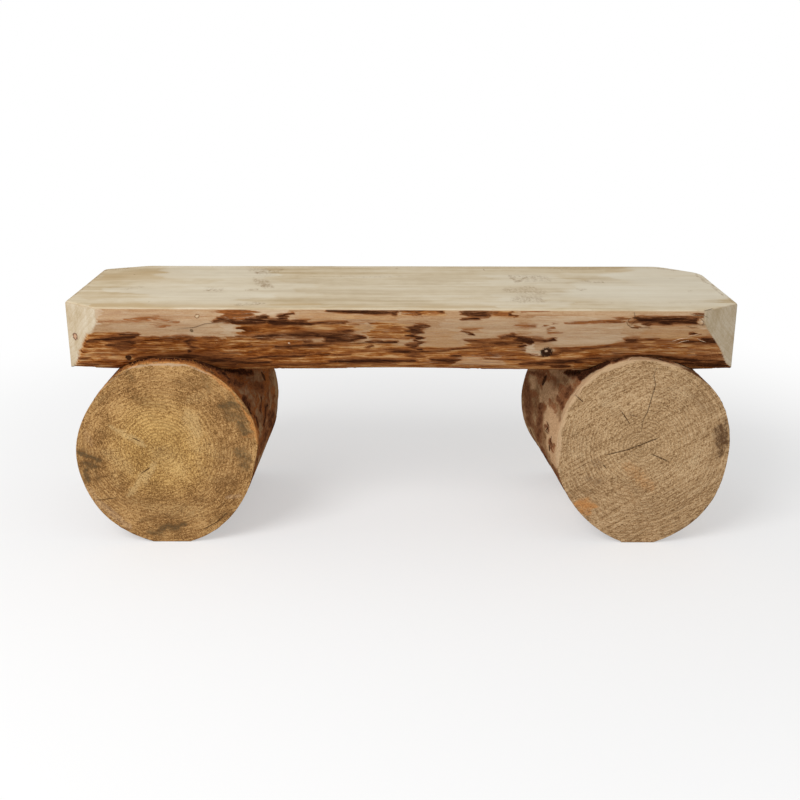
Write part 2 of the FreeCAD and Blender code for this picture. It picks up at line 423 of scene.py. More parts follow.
def build_leg(side):
    facts = LEGS[side]
    node = "leg_log_" + side
    tree = tree_of(NODES[node])
    low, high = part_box(node)
    front, rear = low.y / MM, high.y / MM
    px, _, pz = from_frame(*facts["pith"], front)
    facts["centre"] = (px, pz)
    columns = [front + step for step in LEG_EDGE_STEPS]
    columns += list(np.linspace(front + LEG_MIDDLE_FROM, rear - LEG_MIDDLE_FROM, LEG_MIDDLE_COLUMNS))
    columns += [rear - step for step in LEG_EDGE_STEPS[::-1]]
    rings = np.array([leg_ring(tree, px, pz, y, facts["axis"]) for y in columns])
    rings[0, :, 1], rings[-1, :, 1] = front, rear
    pith = np.array([px, pz])
    for index, wear in RIM_WEAR:
        out = rings[index, :, [0, 2]].T - pith
        size = np.hypot(out[:, 0], out[:, 1])[:, None]
        rings[index][:, [0, 2]] = pith + out * (size - wear) / size
    points = rings.reshape(-1, 3)
    faces = tube_faces(len(columns), SPOKES)
    points = cap(points, faces, np.arange(SPOKES), np.array([px, front, pz]), FRONT_CAP_SHARES, True)
    last = np.arange((len(columns) - 1) * SPOKES, len(columns) * SPOKES)
    points = cap(points, faces, last, np.array([px, rear, pz]), REAR_CAP_SHARES, False)
    return make_object("leg_" + side, points, faces)


legs = {side: build_leg(side) for side in LEGS}


# Screw holes

SCREW_REACH = 80.1
COUNTERBORE_RADIUS = 19.0
COUNTERBORE_TOP = 168.58
SHANK_HOLE_RADIUS = 6.75
HOLE_SIDES = 40
DRILL_BELOW_FLOOR = 6.0
DRILL_ABOVE_BEARING = 30


def screw_places(side):
    """The x and y of the leg's two screws."""
    facts = LEGS[side]
    return [(facts["axis"], facts["middle"] + way * SCREW_REACH) for way in (-1, 1)]


def drill(x, y):
    """A stepped round cutter: the wide counterbore from the floor up, then the narrow hole for the shank."""
    profile = (
        (COUNTERBORE_RADIUS, -DRILL_BELOW_FLOOR),
        (COUNTERBORE_RADIUS, COUNTERBORE_TOP),
        (SHANK_HOLE_RADIUS, COUNTERBORE_TOP),
        (SHANK_HOLE_RADIUS, BEARING_HEIGHT + DRILL_ABOVE_BEARING),
    )
    angles = np.arange(HOLE_SIDES) * 2 * math.pi / HOLE_SIDES
    points = [(x + r * math.cos(a), y + r * math.sin(a), z) for r, z in profile for a in angles]
    faces = tube_faces(len(profile), HOLE_SIDES)
    faces.append(list(range(HOLE_SIDES))[::-1])
    faces.append(list(range((len(profile) - 1) * HOLE_SIDES, len(profile) * HOLE_SIDES)))
    return make_object("drill", np.array(points), faces, False)


def bored(points, places, room=0.4):
    """True for the points on the walls of the screw holes."""
    inside = np.zeros(len(points), bool)
    for x, y in places:
        away = np.hypot(points[:, 0] - x, points[:, 1] - y)
        height = points[:, 2]
        inside |= (away < COUNTERBORE_RADIUS + room) & (height < COUNTERBORE_TOP + room) & (height > 0.5)
        inside |= (away < SHANK_HOLE_RADIUS + room) & (height < BEARING_HEIGHT - 0.5)
    return inside


def cut_holes(side):
    """Bores both screw holes of a leg."""
    made = legs[side]
    for x, y in screw_places(side):
        cutter = drill(x, y)
        step = made.modifiers.new("hole", "BOOLEAN")
        step.operation = "DIFFERENCE"
        step.solver = "EXACT"
        step.object = cutter
        bpy.context.view_layer.update()
        evaluated = made.evaluated_get(bpy.context.evaluated_depsgraph_get())
        result = bpy.data.meshes.new_from_object(evaluated)
        made.modifiers.clear()
        made.data = result
        bpy.data.objects.remove(cutter)


for side in legs:
    cut_holes(side)
for made, node, slot in ((seat, "seat_slab", "seat_wood"), (legs["left"], "leg_log_left", "left_leg_wood"),
                         (legs["right"], "leg_log_right", "right_leg_wood")):
    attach(made, "root")
    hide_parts(node)


# Marks read off the photograph, in pixels of its 800 by 800 frame

# Areas of the seat's front still under warm inner bark: strength, then the corners
SEAT_WARM = (
    (0.92, (70, 368), (80, 340), (90, 333), (112, 333), (135, 337), (138, 370)),
    (1.00, (135, 337), (215, 337), (223, 343), (226, 352), (242, 356), (240, 370), (135, 370)),
    (0.92, (222, 337), (300, 341), (302, 351), (240, 353), (222, 350)),
    (1.00, (236, 352), (300, 350), (330, 352), (330, 370), (236, 370)),
    (0.78, (298, 343), (365, 343), (402, 345), (402, 370), (328, 370), (298, 352)),
    (0.76, (374, 323), (404, 324), (411, 333), (411, 341), (366, 339), (366, 333)),
    (0.96, (236, 323), (300, 323), (302, 334), (262, 334), (240, 337)),
    (0.72, (300, 323), (350, 324), (362, 331), (300, 334)),
    (0.40, (300, 312), (402, 313), (402, 322), (372, 322), (364, 332), (345, 324), (300, 322)),
    (0.30, (425, 330), (458, 331), (458, 348), (425, 348)),
    (0.35, (640, 325), (700, 326), (722, 338), (640, 338)),
    (0.78, (400, 346), (455, 348), (470, 341), (500, 338), (515, 338), (530, 350), (548, 358),
     (560, 370), (400, 370)),
    (0.88, (546, 359), (556, 349), (575, 347), (600, 346), (606, 370), (545, 370)),
    (0.66, (598, 346), (612, 345), (622, 339), (700, 337), (702, 360), (600, 364)),
    (0.60, (696, 337), (722, 337), (736, 350), (738, 362), (700, 358)),
    (0.92, (700, 358), (738, 360), (738, 370), (598, 370), (604, 360), (690, 357)),
    (0.80, (404, 308), (448, 308), (446, 316), (404, 316)),
    (0.80, (490, 308), (516, 308), (516, 318), (495, 317)),
    (0.62, (462, 327), (485, 328), (486, 334), (462, 334)),
    (0.80, (218, 308), (250, 308), (252, 317), (222, 319)),
)
# Pale lumps where the bark came away last
SEAT_PALE = (
    (0.9, (250, 307), (288, 307), (284, 315), (262, 317), (250, 313)),
    (0.2, (300, 311), (330, 311), (345, 315), (345, 320), (300, 321)),
    (0.6, (222, 325), (234, 325), (234, 335), (222, 335)),
    (0.9, (516, 345), (530, 344), (546, 352), (540, 357), (528, 355)),
    (0.46, (455, 357), (500, 356), (508, 366), (455, 366)),
    (0.25, (86, 350), (128, 350), (134, 361), (82, 361)),
    (0.35, (440, 318), (520, 319), (522, 334), (470, 336), (440, 330)),
    (0.32, (95, 310), (205, 310), (212, 320), (205, 331), (110, 331)),
    (0.40, (530, 316), (625, 316), (625, 344), (556, 346), (530, 336)),
    (0.9, (90, 306), (104, 306), (101, 318), (96, 328), (88, 335), (84, 332)),
    (0.7, (692, 306), (710, 306), (716, 322), (708, 327), (703, 316)),
)
# Bark that wraps round onto the left corner cut
SEAT_WRAP = ((1.0, (93, 333), (86, 334), (81, 345), (75, 368), (88, 368)),)
# Bark left in dark streaks, and painted shadow on the seat's lower edge above both legs: x0, y0, x1, y1, half
# width, strength
SEAT_BARK_AND_SHADOW = (
    (84, 342, 104, 340, 1.6, .9), (104, 340, 134, 336.5, 3, .95), (110, 345, 134, 343, 4.5, .8),
    (118, 349, 132, 348, 3, .6), (134, 340, 142, 341, 2, .6), (112, 335, 135, 334, 1.4, .75),
    (150, 337, 160, 337.5, 1, .5), (164, 338, 176, 338, 1.6, .75), (176, 336.8, 196, 337, 1.5, .7),
    (168, 341, 177, 341, 1.2, .6), (190, 339, 190, 352, 4.5, .8), (204, 337.5, 214, 338, 1.4, .6),
    (222, 337.5, 233, 338, 1.2, .5), (210, 343, 218, 346, 1.6, .45), (143, 346, 160, 347, 1.4, .5),
    (139, 350, 150, 351, 1.4, .5), (200, 346, 212, 348, 1.5, .5), (77, 359, 93, 358.5, 1.2, .7),
    (75, 363.5, 100, 364.5, 1.3, .6), (95, 352, 110, 351, .9, .4), (84, 355, 120, 354, 1, .35),
    # The three strokes on the next line and the first one after them paint shadow on the seat above the left
    # leg, laid over dark bark
    (135, 360, 170, 356.5, 3, .85), (150, 358, 200, 357, 3.5, .9), (195, 358, 240, 363, 4, .85),
    (205, 354, 232, 356, 2.5, .6), (213, 321.5, 224, 320.5, 1.6, .9), (222, 320, 236, 321, 3, .9),
    (236, 322.5, 262, 322, 3.2, .95), (250, 319, 262, 321, 2.6, 1.0), (260, 317, 270, 318, 2.8, .95),
    (266, 322, 292, 323.5, 3.4, 1.1), (278, 318, 289, 317, 2.6, .95), (288, 314.5, 294, 313.5, 1.4, .8),
    (292, 323, 312, 323, 2.8, 1), (312, 323.5, 345, 322.5, 1.7, .8), (340, 322.5, 350, 324, 1.1, .6),
    (232, 315.5, 248, 314.5, 1.4, .6), (352, 325.5, 362, 325, 1, .4), (230, 336.5, 262, 336.5, 1.5, .65),
    (255, 337, 285, 335, 2.6, .85), (280, 335.5, 330, 335, 3.6, .9), (262, 340, 270, 339, 1.3, .8),
    (325, 337, 352, 336, 5.5, .9), (338, 332, 350, 332, 2.2, .8), (350, 337, 362, 338, 3.2, .85),
    (322, 341, 356, 341, 2.2, .85), (330, 343, 345, 342, 1.8, .7), (276, 347.5, 300, 346.5, 2.2, .85),
    (296, 345.5, 330, 345, 1.9, .85), (300, 342, 310, 341.5, 1.3, .8), (367, 342, 382, 341.5, 1.5, 1),
    (380, 342, 399, 342.5, 1.3, 1), (369, 347, 377, 347, 1.4, .8), (222, 344, 226, 345.5, 1.1, .7),
    (243, 347, 250, 345, 1.1, .6), (251, 343.5, 254, 343.5, 1.1, .7), (260, 347, 268, 346.5, 1.1, .55),
    (222, 352.5, 240, 353, 1.1, .5), (220, 360, 262, 358, 1.6, .8), (262, 357.5, 305, 355.5, 1.6, .9),
    (305, 355.5, 322, 352.5, 1.2, .6), (330, 355, 352, 354.5, 1.2, .6), (345, 352, 400, 351, 1.1, .45),
    (236, 362, 272, 362.5, 1.8, .85), (270, 365, 325, 364.5, 1.4, .7), (326, 363.5, 344, 360.5, 2, .85),
    (340, 361.5, 370, 361, 3, .95), (365, 361, 402, 361.5, 2.6, .9), (370, 365, 400, 364.5, 1.2, .5),
    (385, 350, 400, 350.5, 1.2, .6), (222, 366, 260, 366.5, 1.2, .5), (327, 310.5, 345, 311.5, 1.6, .95),
    (336, 311.5, 372, 311.5, 1.7, .9), (362, 312.5, 400, 311.5, 2.2, .9), (390, 313.5, 399, 313.5, 2.4, .9),
    (400, 310.5, 408, 310.2, 1.2, .8), (411, 313, 411, 316, 1.4, .5), (415, 311, 416, 316, 2.6, .65),
    (441, 311.5, 446, 312.5, 1.9, .85), (464, 312, 470, 315, 2, .75), (468, 313.5, 492, 313, 3.6, .88),
    (488, 312.5, 503, 312.5, 1.8, .7), (462, 319, 484, 318.5, 1.5, .95), (484, 318, 494, 316.5, 1, .6),
    (514, 311.5, 514, 317.5, 1.6, .7), (409, 327, 423, 327.5, 3, 1), (410, 331, 421, 332, 3.6, .95),
    (412, 337, 419, 338, 3.8, .9), (415, 341, 420, 347, 3.2, .85), (411, 345, 419, 350, 3.4, .85),
    (410, 354, 420, 356, 2.2, .6), (460, 332, 468, 332.5, 1.2, .8), (466, 333.5, 473, 335, 1.1, .85),
    (500, 339, 512, 336.5, 1.8, .75), (510, 335.5, 519, 335.5, 1.9, 1.0), (514, 339, 530, 341, 3.6, 1.15),
    (522, 343, 530, 343.5, 2.2, .9), (530, 339.5, 545, 340.5, 2.6, .75), (540, 342, 556, 339.5, 1.6, .95),
    (466, 341.5, 500, 342, 2.2, .62), (496, 343.5, 518, 344.5, 2.6, .75), (515, 347, 522, 347, 1.6, .9),
    (470, 345, 505, 345, 1.6, .5), (390, 350.5, 420, 352.5, 1.8, .85), (415, 352, 455, 350.5, 1.6, .8),
    (450, 350, 490, 346.5, 1.3, .7), (390, 361.5, 414, 361, 2, .9), (429, 360.5, 456, 361, 2.9, .88),
    (445, 363, 455, 364, 1.8, .7), (452, 356.3, 462, 356, 1.2, .8), (408, 357, 424, 357, 1.4, .6),
    (468, 352, 490, 352.5, .9, .5), (490, 353.5, 540, 355, 1.3, .6), (510, 350, 530, 351, 1.4, .5),
    (484, 359, 540, 361, 1, .6), (520, 364, 560, 363.5, 2.2, .85), (545, 361.5, 572, 361, 1.8, .7),
    (550, 366.5, 572, 366.5, 1.6, .8), (551, 354, 562, 354, 2.8, .7), (556, 350, 575, 349.5, 2.2, .55),
    (535, 356, 541, 357, 1.2, .7), (604, 322, 622, 322.5, 1.2, .6), (612, 319.5, 628, 318.5, 1.2, .55),
    (634, 318, 700, 318.5, 1.8, .85), (640, 320.5, 700, 321, 3.8, 1), (634, 318.5, 662, 321, 3.2, 1),
    (655, 323, 668, 324, 2.2, .9), (642, 324, 650, 325, 1.8, .8), (684, 322, 698, 323, 2, .75),
    (630, 326, 636, 329, 1.2, .7), (690, 314.5, 702, 314.8, .9, .8), (695, 317, 706, 318, 1.1, .6),
    (628, 322, 640, 322, 1.6, .5), (625, 341.5, 642, 340.5, 2.8, .93), (640, 341, 655, 339.5, 1.5, .7),
    (618, 344, 632, 344.5, 1, .5), (700, 341, 722, 342, 3.4, 1.1), (680, 342, 704, 343, 2.2, .72),
    (655, 341.5, 684, 342.5, 2.2, .5), (706, 338.5, 720, 338.5, 1, .6), (688, 334.3, 698, 333.8, 1.2, .85),
    (560, 351, 584, 350, 2.3, .65), (584, 348.5, 615, 346.5, 1.2, .6), (612, 347, 650, 345.5, 1.2, .5),
    (632, 348.5, 660, 347, 1, .45), (690, 350.5, 726, 352, .9, .55), (700, 355, 729, 356, 1.3, .7),
    (676, 357, 729, 358.5, 1.1, .5), (690, 361, 731, 361.5, 2.2, .9), (700, 365, 730, 365.5, 2.0, 1),
    # The last stroke on the next line and the first one after it paint shadow on the seat over the right leg's
    # notch
    (560, 363, 585, 360, 2.6, .85), (580, 359, 606, 358, 1.8, .75), (600, 360, 640, 355.5, 2.2, .8),
    (640, 356, 700, 361, 3.2, .92), (650, 362, 728, 364.5, 2.4, .85),
)
# Rust-brown smears on the bare wood
SEAT_RUST = (
    (128, 320.5, 150, 318.5, 2.4, .6), (146, 319, 160, 316.5, 2.0, .55), (150, 318, 182, 322.5, 2.2, .55),
    (100, 322, 126, 322, 2.0, .42), (150, 324, 168, 327, 2.0, .42), (98, 312, 118, 312, 4, .2),
    (218, 311, 250, 313, 4.5, .6), (224, 317, 250, 317.5, 3, .7), (426, 313, 440, 313, 2.5, .5),
    (497, 313, 514, 315, 3, .6), (466, 330, 484, 330, 1.6, .5), (390, 330, 404, 330, 3, .5),
    (374, 337, 392, 337, 2, .5), (560, 324, 590, 323, 1.0, .8), (590, 323, 625, 321.5, 1.7, .9),
    (515, 326, 540, 327, 2.4, .45), (549, 325, 553, 334, 2.6, .7), (553, 333, 562, 333, 1, .6),
    (520, 311.5, 548, 311.5, .8, .7), (185, 337, 215, 341, 2.4, .5), (240, 335, 262, 334, 1.4, .5),
)
# Marks on the sawn top: brown smudges, grey wood and tan patches
TOP_BROWN = (
    (256, 273, 262, 273, 1.6, .6), (263, 271, 272, 270.5, 1.2, .55), (276, 272, 284, 270, 1.0, .5),
    (258, 282, 268, 281, 1.2, .6), (262, 286, 269, 285, 1.8, .95), (246, 290, 258, 289.5, 1.0, .5),
    (204, 290.8, 222, 290, .9, .55), (240, 305.5, 264, 303.5, 1.0, .5), (120, 290, 146, 286, .9, .35),
    (78, 288, 90, 286.5, 1.0, .4), (508, 276, 516, 281, 1.8, .55), (514, 282, 522, 281, 1.2, .8),
    (522, 279, 531, 276, 1.1, .6), (530, 276, 545, 277.5, 1.0, .5), (544, 277.5, 551, 281, .9, .5),
    (575, 280, 600, 282, 1.0, .4), (599, 282, 603, 282, 1.0, .6), (520, 289, 524, 287, .9, .55),
    (524, 287, 534, 287.3, .9, .55), (534, 288, 534, 291, .9, .5), (522, 291.5, 533, 291.7, .9, .5),
    (511, 292, 521, 293.5, .9, .45), (525, 299, 537, 298.5, 2.6, .45), (505, 302, 512, 300.5, 1.1, .35),
    (577, 289.5, 586, 289.5, 1.2, .5), (687, 291, 695, 291.5, 1.0, .4), (670, 279, 674, 279, .9, .4),
    (240, 276.5, 330, 276.5, .8, .25), (330, 276.5, 412, 276.8, .9, .30), (400, 297.5, 500, 297, .8, .22),
    (560, 302.5, 700, 303, 1.2, .2), (60, 299, 300, 309, .5, .1), (148, 302, 148.6, 302, .9, .9),
    (134, 274, 134.6, 274, .8, .7), (482, 270.5, 482.6, 270.5, .8, .8), (560, 270.5, 560.6, 270.5, .8, .9),
    (396, 268.5, 398, 268.5, 1.1, .5), (324, 284.5, 325, 284.5, .9, .5), (545, 268, 600, 268.5, 1.2, .3),
    (510, 277, 550, 279, 4, .38), (505, 290, 545, 292, 4, .38), (512, 299, 545, 300, 4, .42),
    (250, 270, 276, 272, 3.5, .38), (254, 280, 273, 287, 4, .42), (205, 288, 225, 290, 3, .28),
    (66, 301, 104, 270.4, 1.0, .6), (104, 270.4, 130, 267.8, 1.0, .5), (692, 271, 734, 303, 1.0, .5),
    (655, 268.2, 692, 271, 1.0, .45), (130, 267.6, 655, 267.6, .8, .2), (235, 305, 262, 302, 2, .35),
)
TOP_GREY = (
    (170, 272, 260, 274, 7, .8), (130, 292, 260, 296, 9, .75), (210, 283, 300, 290, 9, .6),
    (500, 278, 560, 285, 8, .55), (512, 296, 560, 300, 8, .7), (560, 292, 690, 293, 9, .8),
    (600, 300, 700, 302, 5, .5), (490, 290, 520, 300, 6, .4), (620, 276, 690, 284, 14, 1),
    (570, 290, 720, 296, 12, 1), (310, 288, 520, 288, 15, .34),
)
TOP_TAN = (
    (100, 277, 190, 273, 5, .55), (80, 298, 130, 292, 5, .35), (95, 305.5, 240, 305.5, 2.6, .75),
    (240, 306, 310, 304, 1.6, .5), (330, 306.6, 500, 306.6, 1.4, .45), (555, 303, 700, 300, 1.6, .35),
    (330, 275, 480, 274, 3, .15), (300, 296, 420, 300, 4, .10), (600, 271, 690, 272, 2, .35),
)
# Drying checks on the seat's ends, in millimetres across the end and down from the top
END_CHECKS = (
    (((14, 6), (8, 40), (-6, 78)), 1.0), (((60, 4), (72, 34), (92, 70)), .8),
    (((-70, 8), (-88, 44), (-96, 66)), .7), (((30, 60), (42, 96), (46, 124)), .7),
    (((-30, 90), (-40, 118)), .6), (((120, 20), (138, 44)), .5), (((-130, 14), (-146, 36)), .5),
)


# Fields over the seat


def areas(places, table, soft=1.6):
    """The strongest of many outlined areas at each place, fading over a few pixels at their edges."""
    best = np.zeros(len(places))
    for strength, *corners in table:
        corners = np.array(corners, float)
        nearest = np.full(len(places), 1e9)
        inside = np.zeros(len(places), bool)
        for a, b in zip(corners, np.roll(corners, -1, axis=0)):
            line = b - a
            t = np.clip(((places - a) @ line) / (line @ line), 0, 1)
            nearest = np.minimum(nearest, np.hypot(*(places - a - t[:, None] * line).T))
            crosses = (a[1] > places[:, 1]) != (b[1] > places[:, 1])
            rise = line[1] if line[1] else 1e-9
            inside ^= crosses & (places[:, 0] < a[0] + (places[:, 1] - a[1]) / rise * line[0])
        signed = np.where(inside, nearest, -nearest)
        best = np.maximum(best, strength * smooth(-soft, soft, signed))
    return best


def wider(table):
    """The same strokes, broader and fainter, for the haze round a stain."""
    return [(x0, y0, x1, y1, 2.1 * half, 0.42 * strength) for x0, y0, x1, y1, half, strength in table]


def facing(points, normals):
    """How squarely each place faces the camera: 1 head on, below 0 turned away."""
    view = CAMERA_PLACE - points
    return np.sum(view * normals, 1) / np.linalg.norm(view, axis=1)


def ragged(places, size, amount, seed):
    """The same places pushed about a little, so that what is painted there gets a torn edge."""
    flat = np.concatenate([places, np.zeros((len(places), 1))], 1)
    shift = np.stack([layered(flat, (*size, 1), seed), layered(flat, (*size, 1), seed + 5)], 1)
    return places + shift * amount


# How far from its line a drying check shows
CHECK_REACH = 7


def checks(places, table):
    """Signed distance from the nearest drying check, in the places' own unit, and how open it is there."""
    gap = np.zeros(len(places))
    nearest = np.full(len(places), 1e9)
    opened = np.zeros(len(places))
    for line, strength in table:
        steps = len(line) - 1
        for index, ((x0, y0), (x1, y1)) in enumerate(zip(line[:-1], line[1:])):
            way = np.array([x1 - x0, y1 - y0], float)
            length = math.hypot(*way)
            away = places - (x0, y0)
            t = (away @ way) / length ** 2
            across = (away[:, 0] * way[1] - away[:, 1] * way[0]) / length
            beyond = np.maximum(0, np.maximum(-t, t - 1)) * length
            distance = np.hypot(across, beyond)
            along = (index + np.clip(t, 0, 1)) / steps
            fade = smooth(3.5, 0.5, beyond) * (0.35 + 0.65 * np.sqrt(np.clip(4 * along * (1 - along), 0, 1)))
            closer = distance < nearest
            nearest = np.where(closer, distance, nearest)
            gap = np.where(closer, across, gap)
            opened = np.where(closer, strength * fade, opened)
    return gap, np.where(nearest < CHECK_REACH, opened, 0)


def marks_seen(flat):
    """The marks on the seat's front as the photograph shows them: warm, bark with painted shadow above the
    legs, rust and pale.
    """
    at = ragged(flat, (20, 2.4), (6.0, 0.55), 3)
    warm = areas(at, SEAT_WARM) * (1 - 0.9 * areas(at, SEAT_PALE, 1.2))
    bark = strokes(at, SEAT_BARK_AND_SHADOW, 0.95)
    rust = np.maximum(strokes(at, SEAT_RUST, 0.9), 0.6 * strokes(at, wider(SEAT_BARK_AND_SHADOW), 0.95))
    return warm, bark, rust, areas(at, SEAT_PALE, 1.4)


def marks_guessed(points):
    """The same marks where the photograph doesn't show the seat, drawn by noise along the log."""
    broad = layered(points, (330, 75, 75), 41)
    patch = layered(points, (190, 26, 26), 43)
    streak = layered(points, (85, 8, 8), 57, 4, 0.6)
    warm = 0.85 * smooth(-0.30, 0.25, broad + 0.45 * patch + 0.2 * streak)
    bark = smooth(0.30, 0.80, 0.75 * patch + 0.55 * streak + 0.25 * broad)
    rust = 0.7 * smooth(0.25, 0.8, layered(points, (60, 10, 10), 77) - 0.4 * broad)
    return warm, bark, rust, smooth(0.10, 0.6, -broad - 0.5 * patch)


# How far the notches reach from the middle of the bench and from a leg's pith
NOTCH_REACH_Y = 175
NOTCH_REACH_X = 130


def bears_on_leg(points, normals):
    """True on the seat's underside over a leg, which stays as the CAD has it."""
    near_leg = np.min([np.abs(points[:, 0] - facts["axis"]) for facts in LEGS.values()], axis=0)
    low = (points[:, 2] < BEARING_HEIGHT + 1) & (normals[:, 2] < -0.3)
    return low & (np.abs(points[:, 1]) < NOTCH_REACH_Y) & (near_leg < NOTCH_REACH_X)


def paint_seat(made):
    mesh = made.data
    points, normals = places_of(mesh), normals_of(mesh)
    flat = to_frame(points)
    shown = smooth(0.0, 0.12, facing(points, normals))
    top = smooth(SEAT_TOP - 3.2, SEAT_TOP - 1.4, points[:, 2])
    wrapped = shown * areas(ragged(flat, (5, 3), (1.2, 0.6), 7), SEAT_WRAP, 0.7)
    cut = smooth(0.22, 0.40, np.abs(normals[:, 0])) * (1 - top) * (1 - wrapped)
    side = (1 - top) * (1 - cut)
    set_field(mesh, "top", top)
    set_field(mesh, "cut", cut)
    marks = {}
    # the bark field holds painted shadow above the legs as well as bark
    for name, seen, guessed in zip(("warm", "bark", "rust", "pale"), marks_seen(flat), marks_guessed(points)):
        marks[name] = shown * seen + (1 - shown) * guessed
        set_field(mesh, name, marks[name] * side)
    for name, table, size, amount, seed, soft in (
        ("brown", TOP_BROWN, (7, 3), (1.6, 0.6), 31, 0.85),
        ("grey", TOP_GREY, (60, 5), (26, 1.4), 37, 0.95),
        ("tan", TOP_TAN, (40, 4), (10, 0.8), 39, 0.95),
    ):
        set_field(mesh, name, strokes(ragged(flat, size, amount, seed), table, soft) * top)

    whole_end = np.abs(points[:, 0]) > SEAT_LENGTH / 2 - 3
    across_end = np.stack([points[:, 1] * np.sign(points[:, 0]), SEAT_TOP - points[:, 2]], 1)
    gap, opened = checks(ragged(across_end, (16, 16), (2.2, 2.2), 19), END_CHECKS)
    set_field(mesh, "gap", gap)
    set_field(mesh, "opened", opened * whole_end)

    # bare wood lies a little under the bark, and the saw leaves shallow waves
    lumps = 0.5 + 0.5 * layered(points, (140, 24, 24), 91)
    fibres = 0.5 + 0.5 * layered(points, (34, 4, 4), 97, 2)
    bare = 0.95 * (1 - smooth(0.25, 0.6, marks["bark"])) + 0.9 * lumps + 0.35 * fibres
    sawn = 0.12 + 0.12 * layered(points, (120, 9, 40), 13, 2)
    depth = side * np.clip(bare, 0, 2.2) + (1 - side) * np.clip(sawn, 0, 0.5)
    depth = np.where(bears_on_leg(points, normals), 0, depth)
    set_places(mesh, points - normals * depth[:, None])


paint_seat(seat)


# Marks on the legs, read the same way

LEFT_STAIN = (
    (222, 407, 240, 405, 4.5, .65), (228, 403, 238, 405, 3, .8), (232, 415, 246, 422, 6, .5),
    (240, 424, 248, 434, 4, .75), (226, 412, 232, 420, 4, .5), (238, 449, 250, 462, 5, .6),
    (241, 464, 249, 469, 3.5, .6), (78, 452, 90, 457, 2.6, .8), (88, 456, 101, 460, 3, .7),
    (82, 464, 98, 468, 3, .6), (84, 471, 88, 482, 3.4, .85), (96, 474, 100, 482, 3, .35),
    (148, 533, 166, 531, 2.6, .6), (160, 530, 186, 525, 2.8, .75), (140, 521, 152, 518, 2.6, .35),
    (186, 518, 196, 512, 2.4, .3), (126, 372, 134, 380, 4, .35), (176, 382, 196, 384, 6, .22),
    (204, 376, 210, 392, 4, .35), (135, 398, 165, 408, 6, .25), (150, 418, 176, 430, 6, .2),
    (122, 500, 150, 505, 5, .25), (96, 430, 118, 436, 4, .22), (168, 512, 205, 500, 5, .22),
    (208, 480, 236, 478, 5, .22), (218, 455, 236, 450, 6, .22), (210, 524, 232, 508, 3, .25),
)
LEFT_LIGHT = (
    (188, 414, 198, 436, 8, .75), (190, 438, 200, 452, 6, .45), (155, 464, 130, 494, 4.5, .9),
    (110, 426, 145, 446, 3, .9), (106, 452, 132, 470, 8, .45), (186, 402, 204, 396, 6, .35),
    (206, 444, 216, 456, 6, .35), (190, 506, 205, 520, 5, .3), (88, 405, 104, 398, 4, .35),
    (196, 456, 204, 474, 3, .35), (112, 462, 118, 486, 5, .3), (156, 452, 182, 470, 13, .40),
    (150, 508, 204, 512, 8, .35),
)
LEFT_ORANGE = (
    (121, 369, 146, 362.5, 1.6, .8), (146, 362.5, 187, 363, 1.6, .85), (187, 363, 203, 369.5, 2, .9),
    (203, 369.5, 217, 378.5, 2, .9), (217, 378.5, 231, 391, 1.8, .9), (231, 391, 244, 408, 1.4, .8),
    (244, 408, 252, 424, 1.5, .8), (253, 424, 259, 440, 3.0, 1), (258, 438, 259.5, 452, 2.2, .9),
    (228, 386, 234, 390, 3, .7), (92, 398, 121, 369, 1.2, .6), (242, 437, 258, 434, 3, .45),
)
LEFT_PINK = (
    (100, 390, 128, 368.5, 1.0, .35), (128, 368.5, 150, 364.5, 1.2, .6), (150, 364.5, 186, 365, 1.3, .8),
    (186, 365, 212, 376, 1.2, .5), (212, 376, 230, 391, 1.0, .3), (226, 498, 242, 496, 3, .35),
    (96, 500, 130, 528, 5, .35), (86, 486, 98, 500, 4, .3), (84, 430, 92, 446, 5, .25),
)
LEFT_CHECKS = (
    (((204.5, 529), (217, 522.5), (227, 513)), 1.0), (((93, 501), (119, 498)), .55),
    (((133, 438.5), (140.5, 442)), .8), (((141, 474), (150, 468)), .8),
    (((196, 455), (216, 457), (250, 463)), .35), (((150, 459.5), (156, 463)), .4),
    (((176, 452), (168, 455.5)), .4),
)
RIGHT_STAIN = (
    (722, 424, 725, 446, 3.4, .95), (717, 430, 720, 450, 3, .7), (726, 418, 728, 430, 2.5, .6),
    (722, 446, 720, 456, 3, .7), (586, 478, 602, 482, 4, .35), (586, 494, 594, 490, 4, .25),
    (592, 462, 602, 468, 3.5, .4), (706, 509, 710, 506, 1.6, .8), (690, 523, 694, 520, 1.6, .8),
    (676, 533, 682, 530, 1.6, .8), (565, 495, 568, 492, 1.6, .5), (568, 408, 574, 410, 2.4, .35),
    (690, 398, 715, 412, 5, .2), (600, 395, 620, 420, 6, .2), (650, 395, 690, 385, 6, .15),
    (618, 480, 640, 494, 4, .2), (640, 505, 662, 505, 3, .2), (630, 412, 640, 416, 2, .4),
)
RIGHT_LIGHT = (
    (604, 392, 616, 384, 5, .5), (602, 402, 622, 408, 5, .45), (668, 388, 690, 398, 5, .35),
    (690, 466, 702, 450, 4, .55), (672, 398, 686, 401, 4, .35), (569, 452, 584, 456, 4, .5),
    (575, 432, 590, 450, 7, .3), (676, 466, 684, 474, 4, .3), (650, 470, 662, 476, 3, .25),
    (606, 472, 616, 478, 3, .3),
)
RIGHT_ORANGE = (
    (577, 503, 596, 506, 5, .75), (580, 510, 592, 512, 4, .55), (626, 466, 652, 488, 9, .38),
    (618, 484, 634, 500, 7, .25), (600, 520, 612, 524, 4, .2), (712, 404, 716, 470, 7, .15),
)
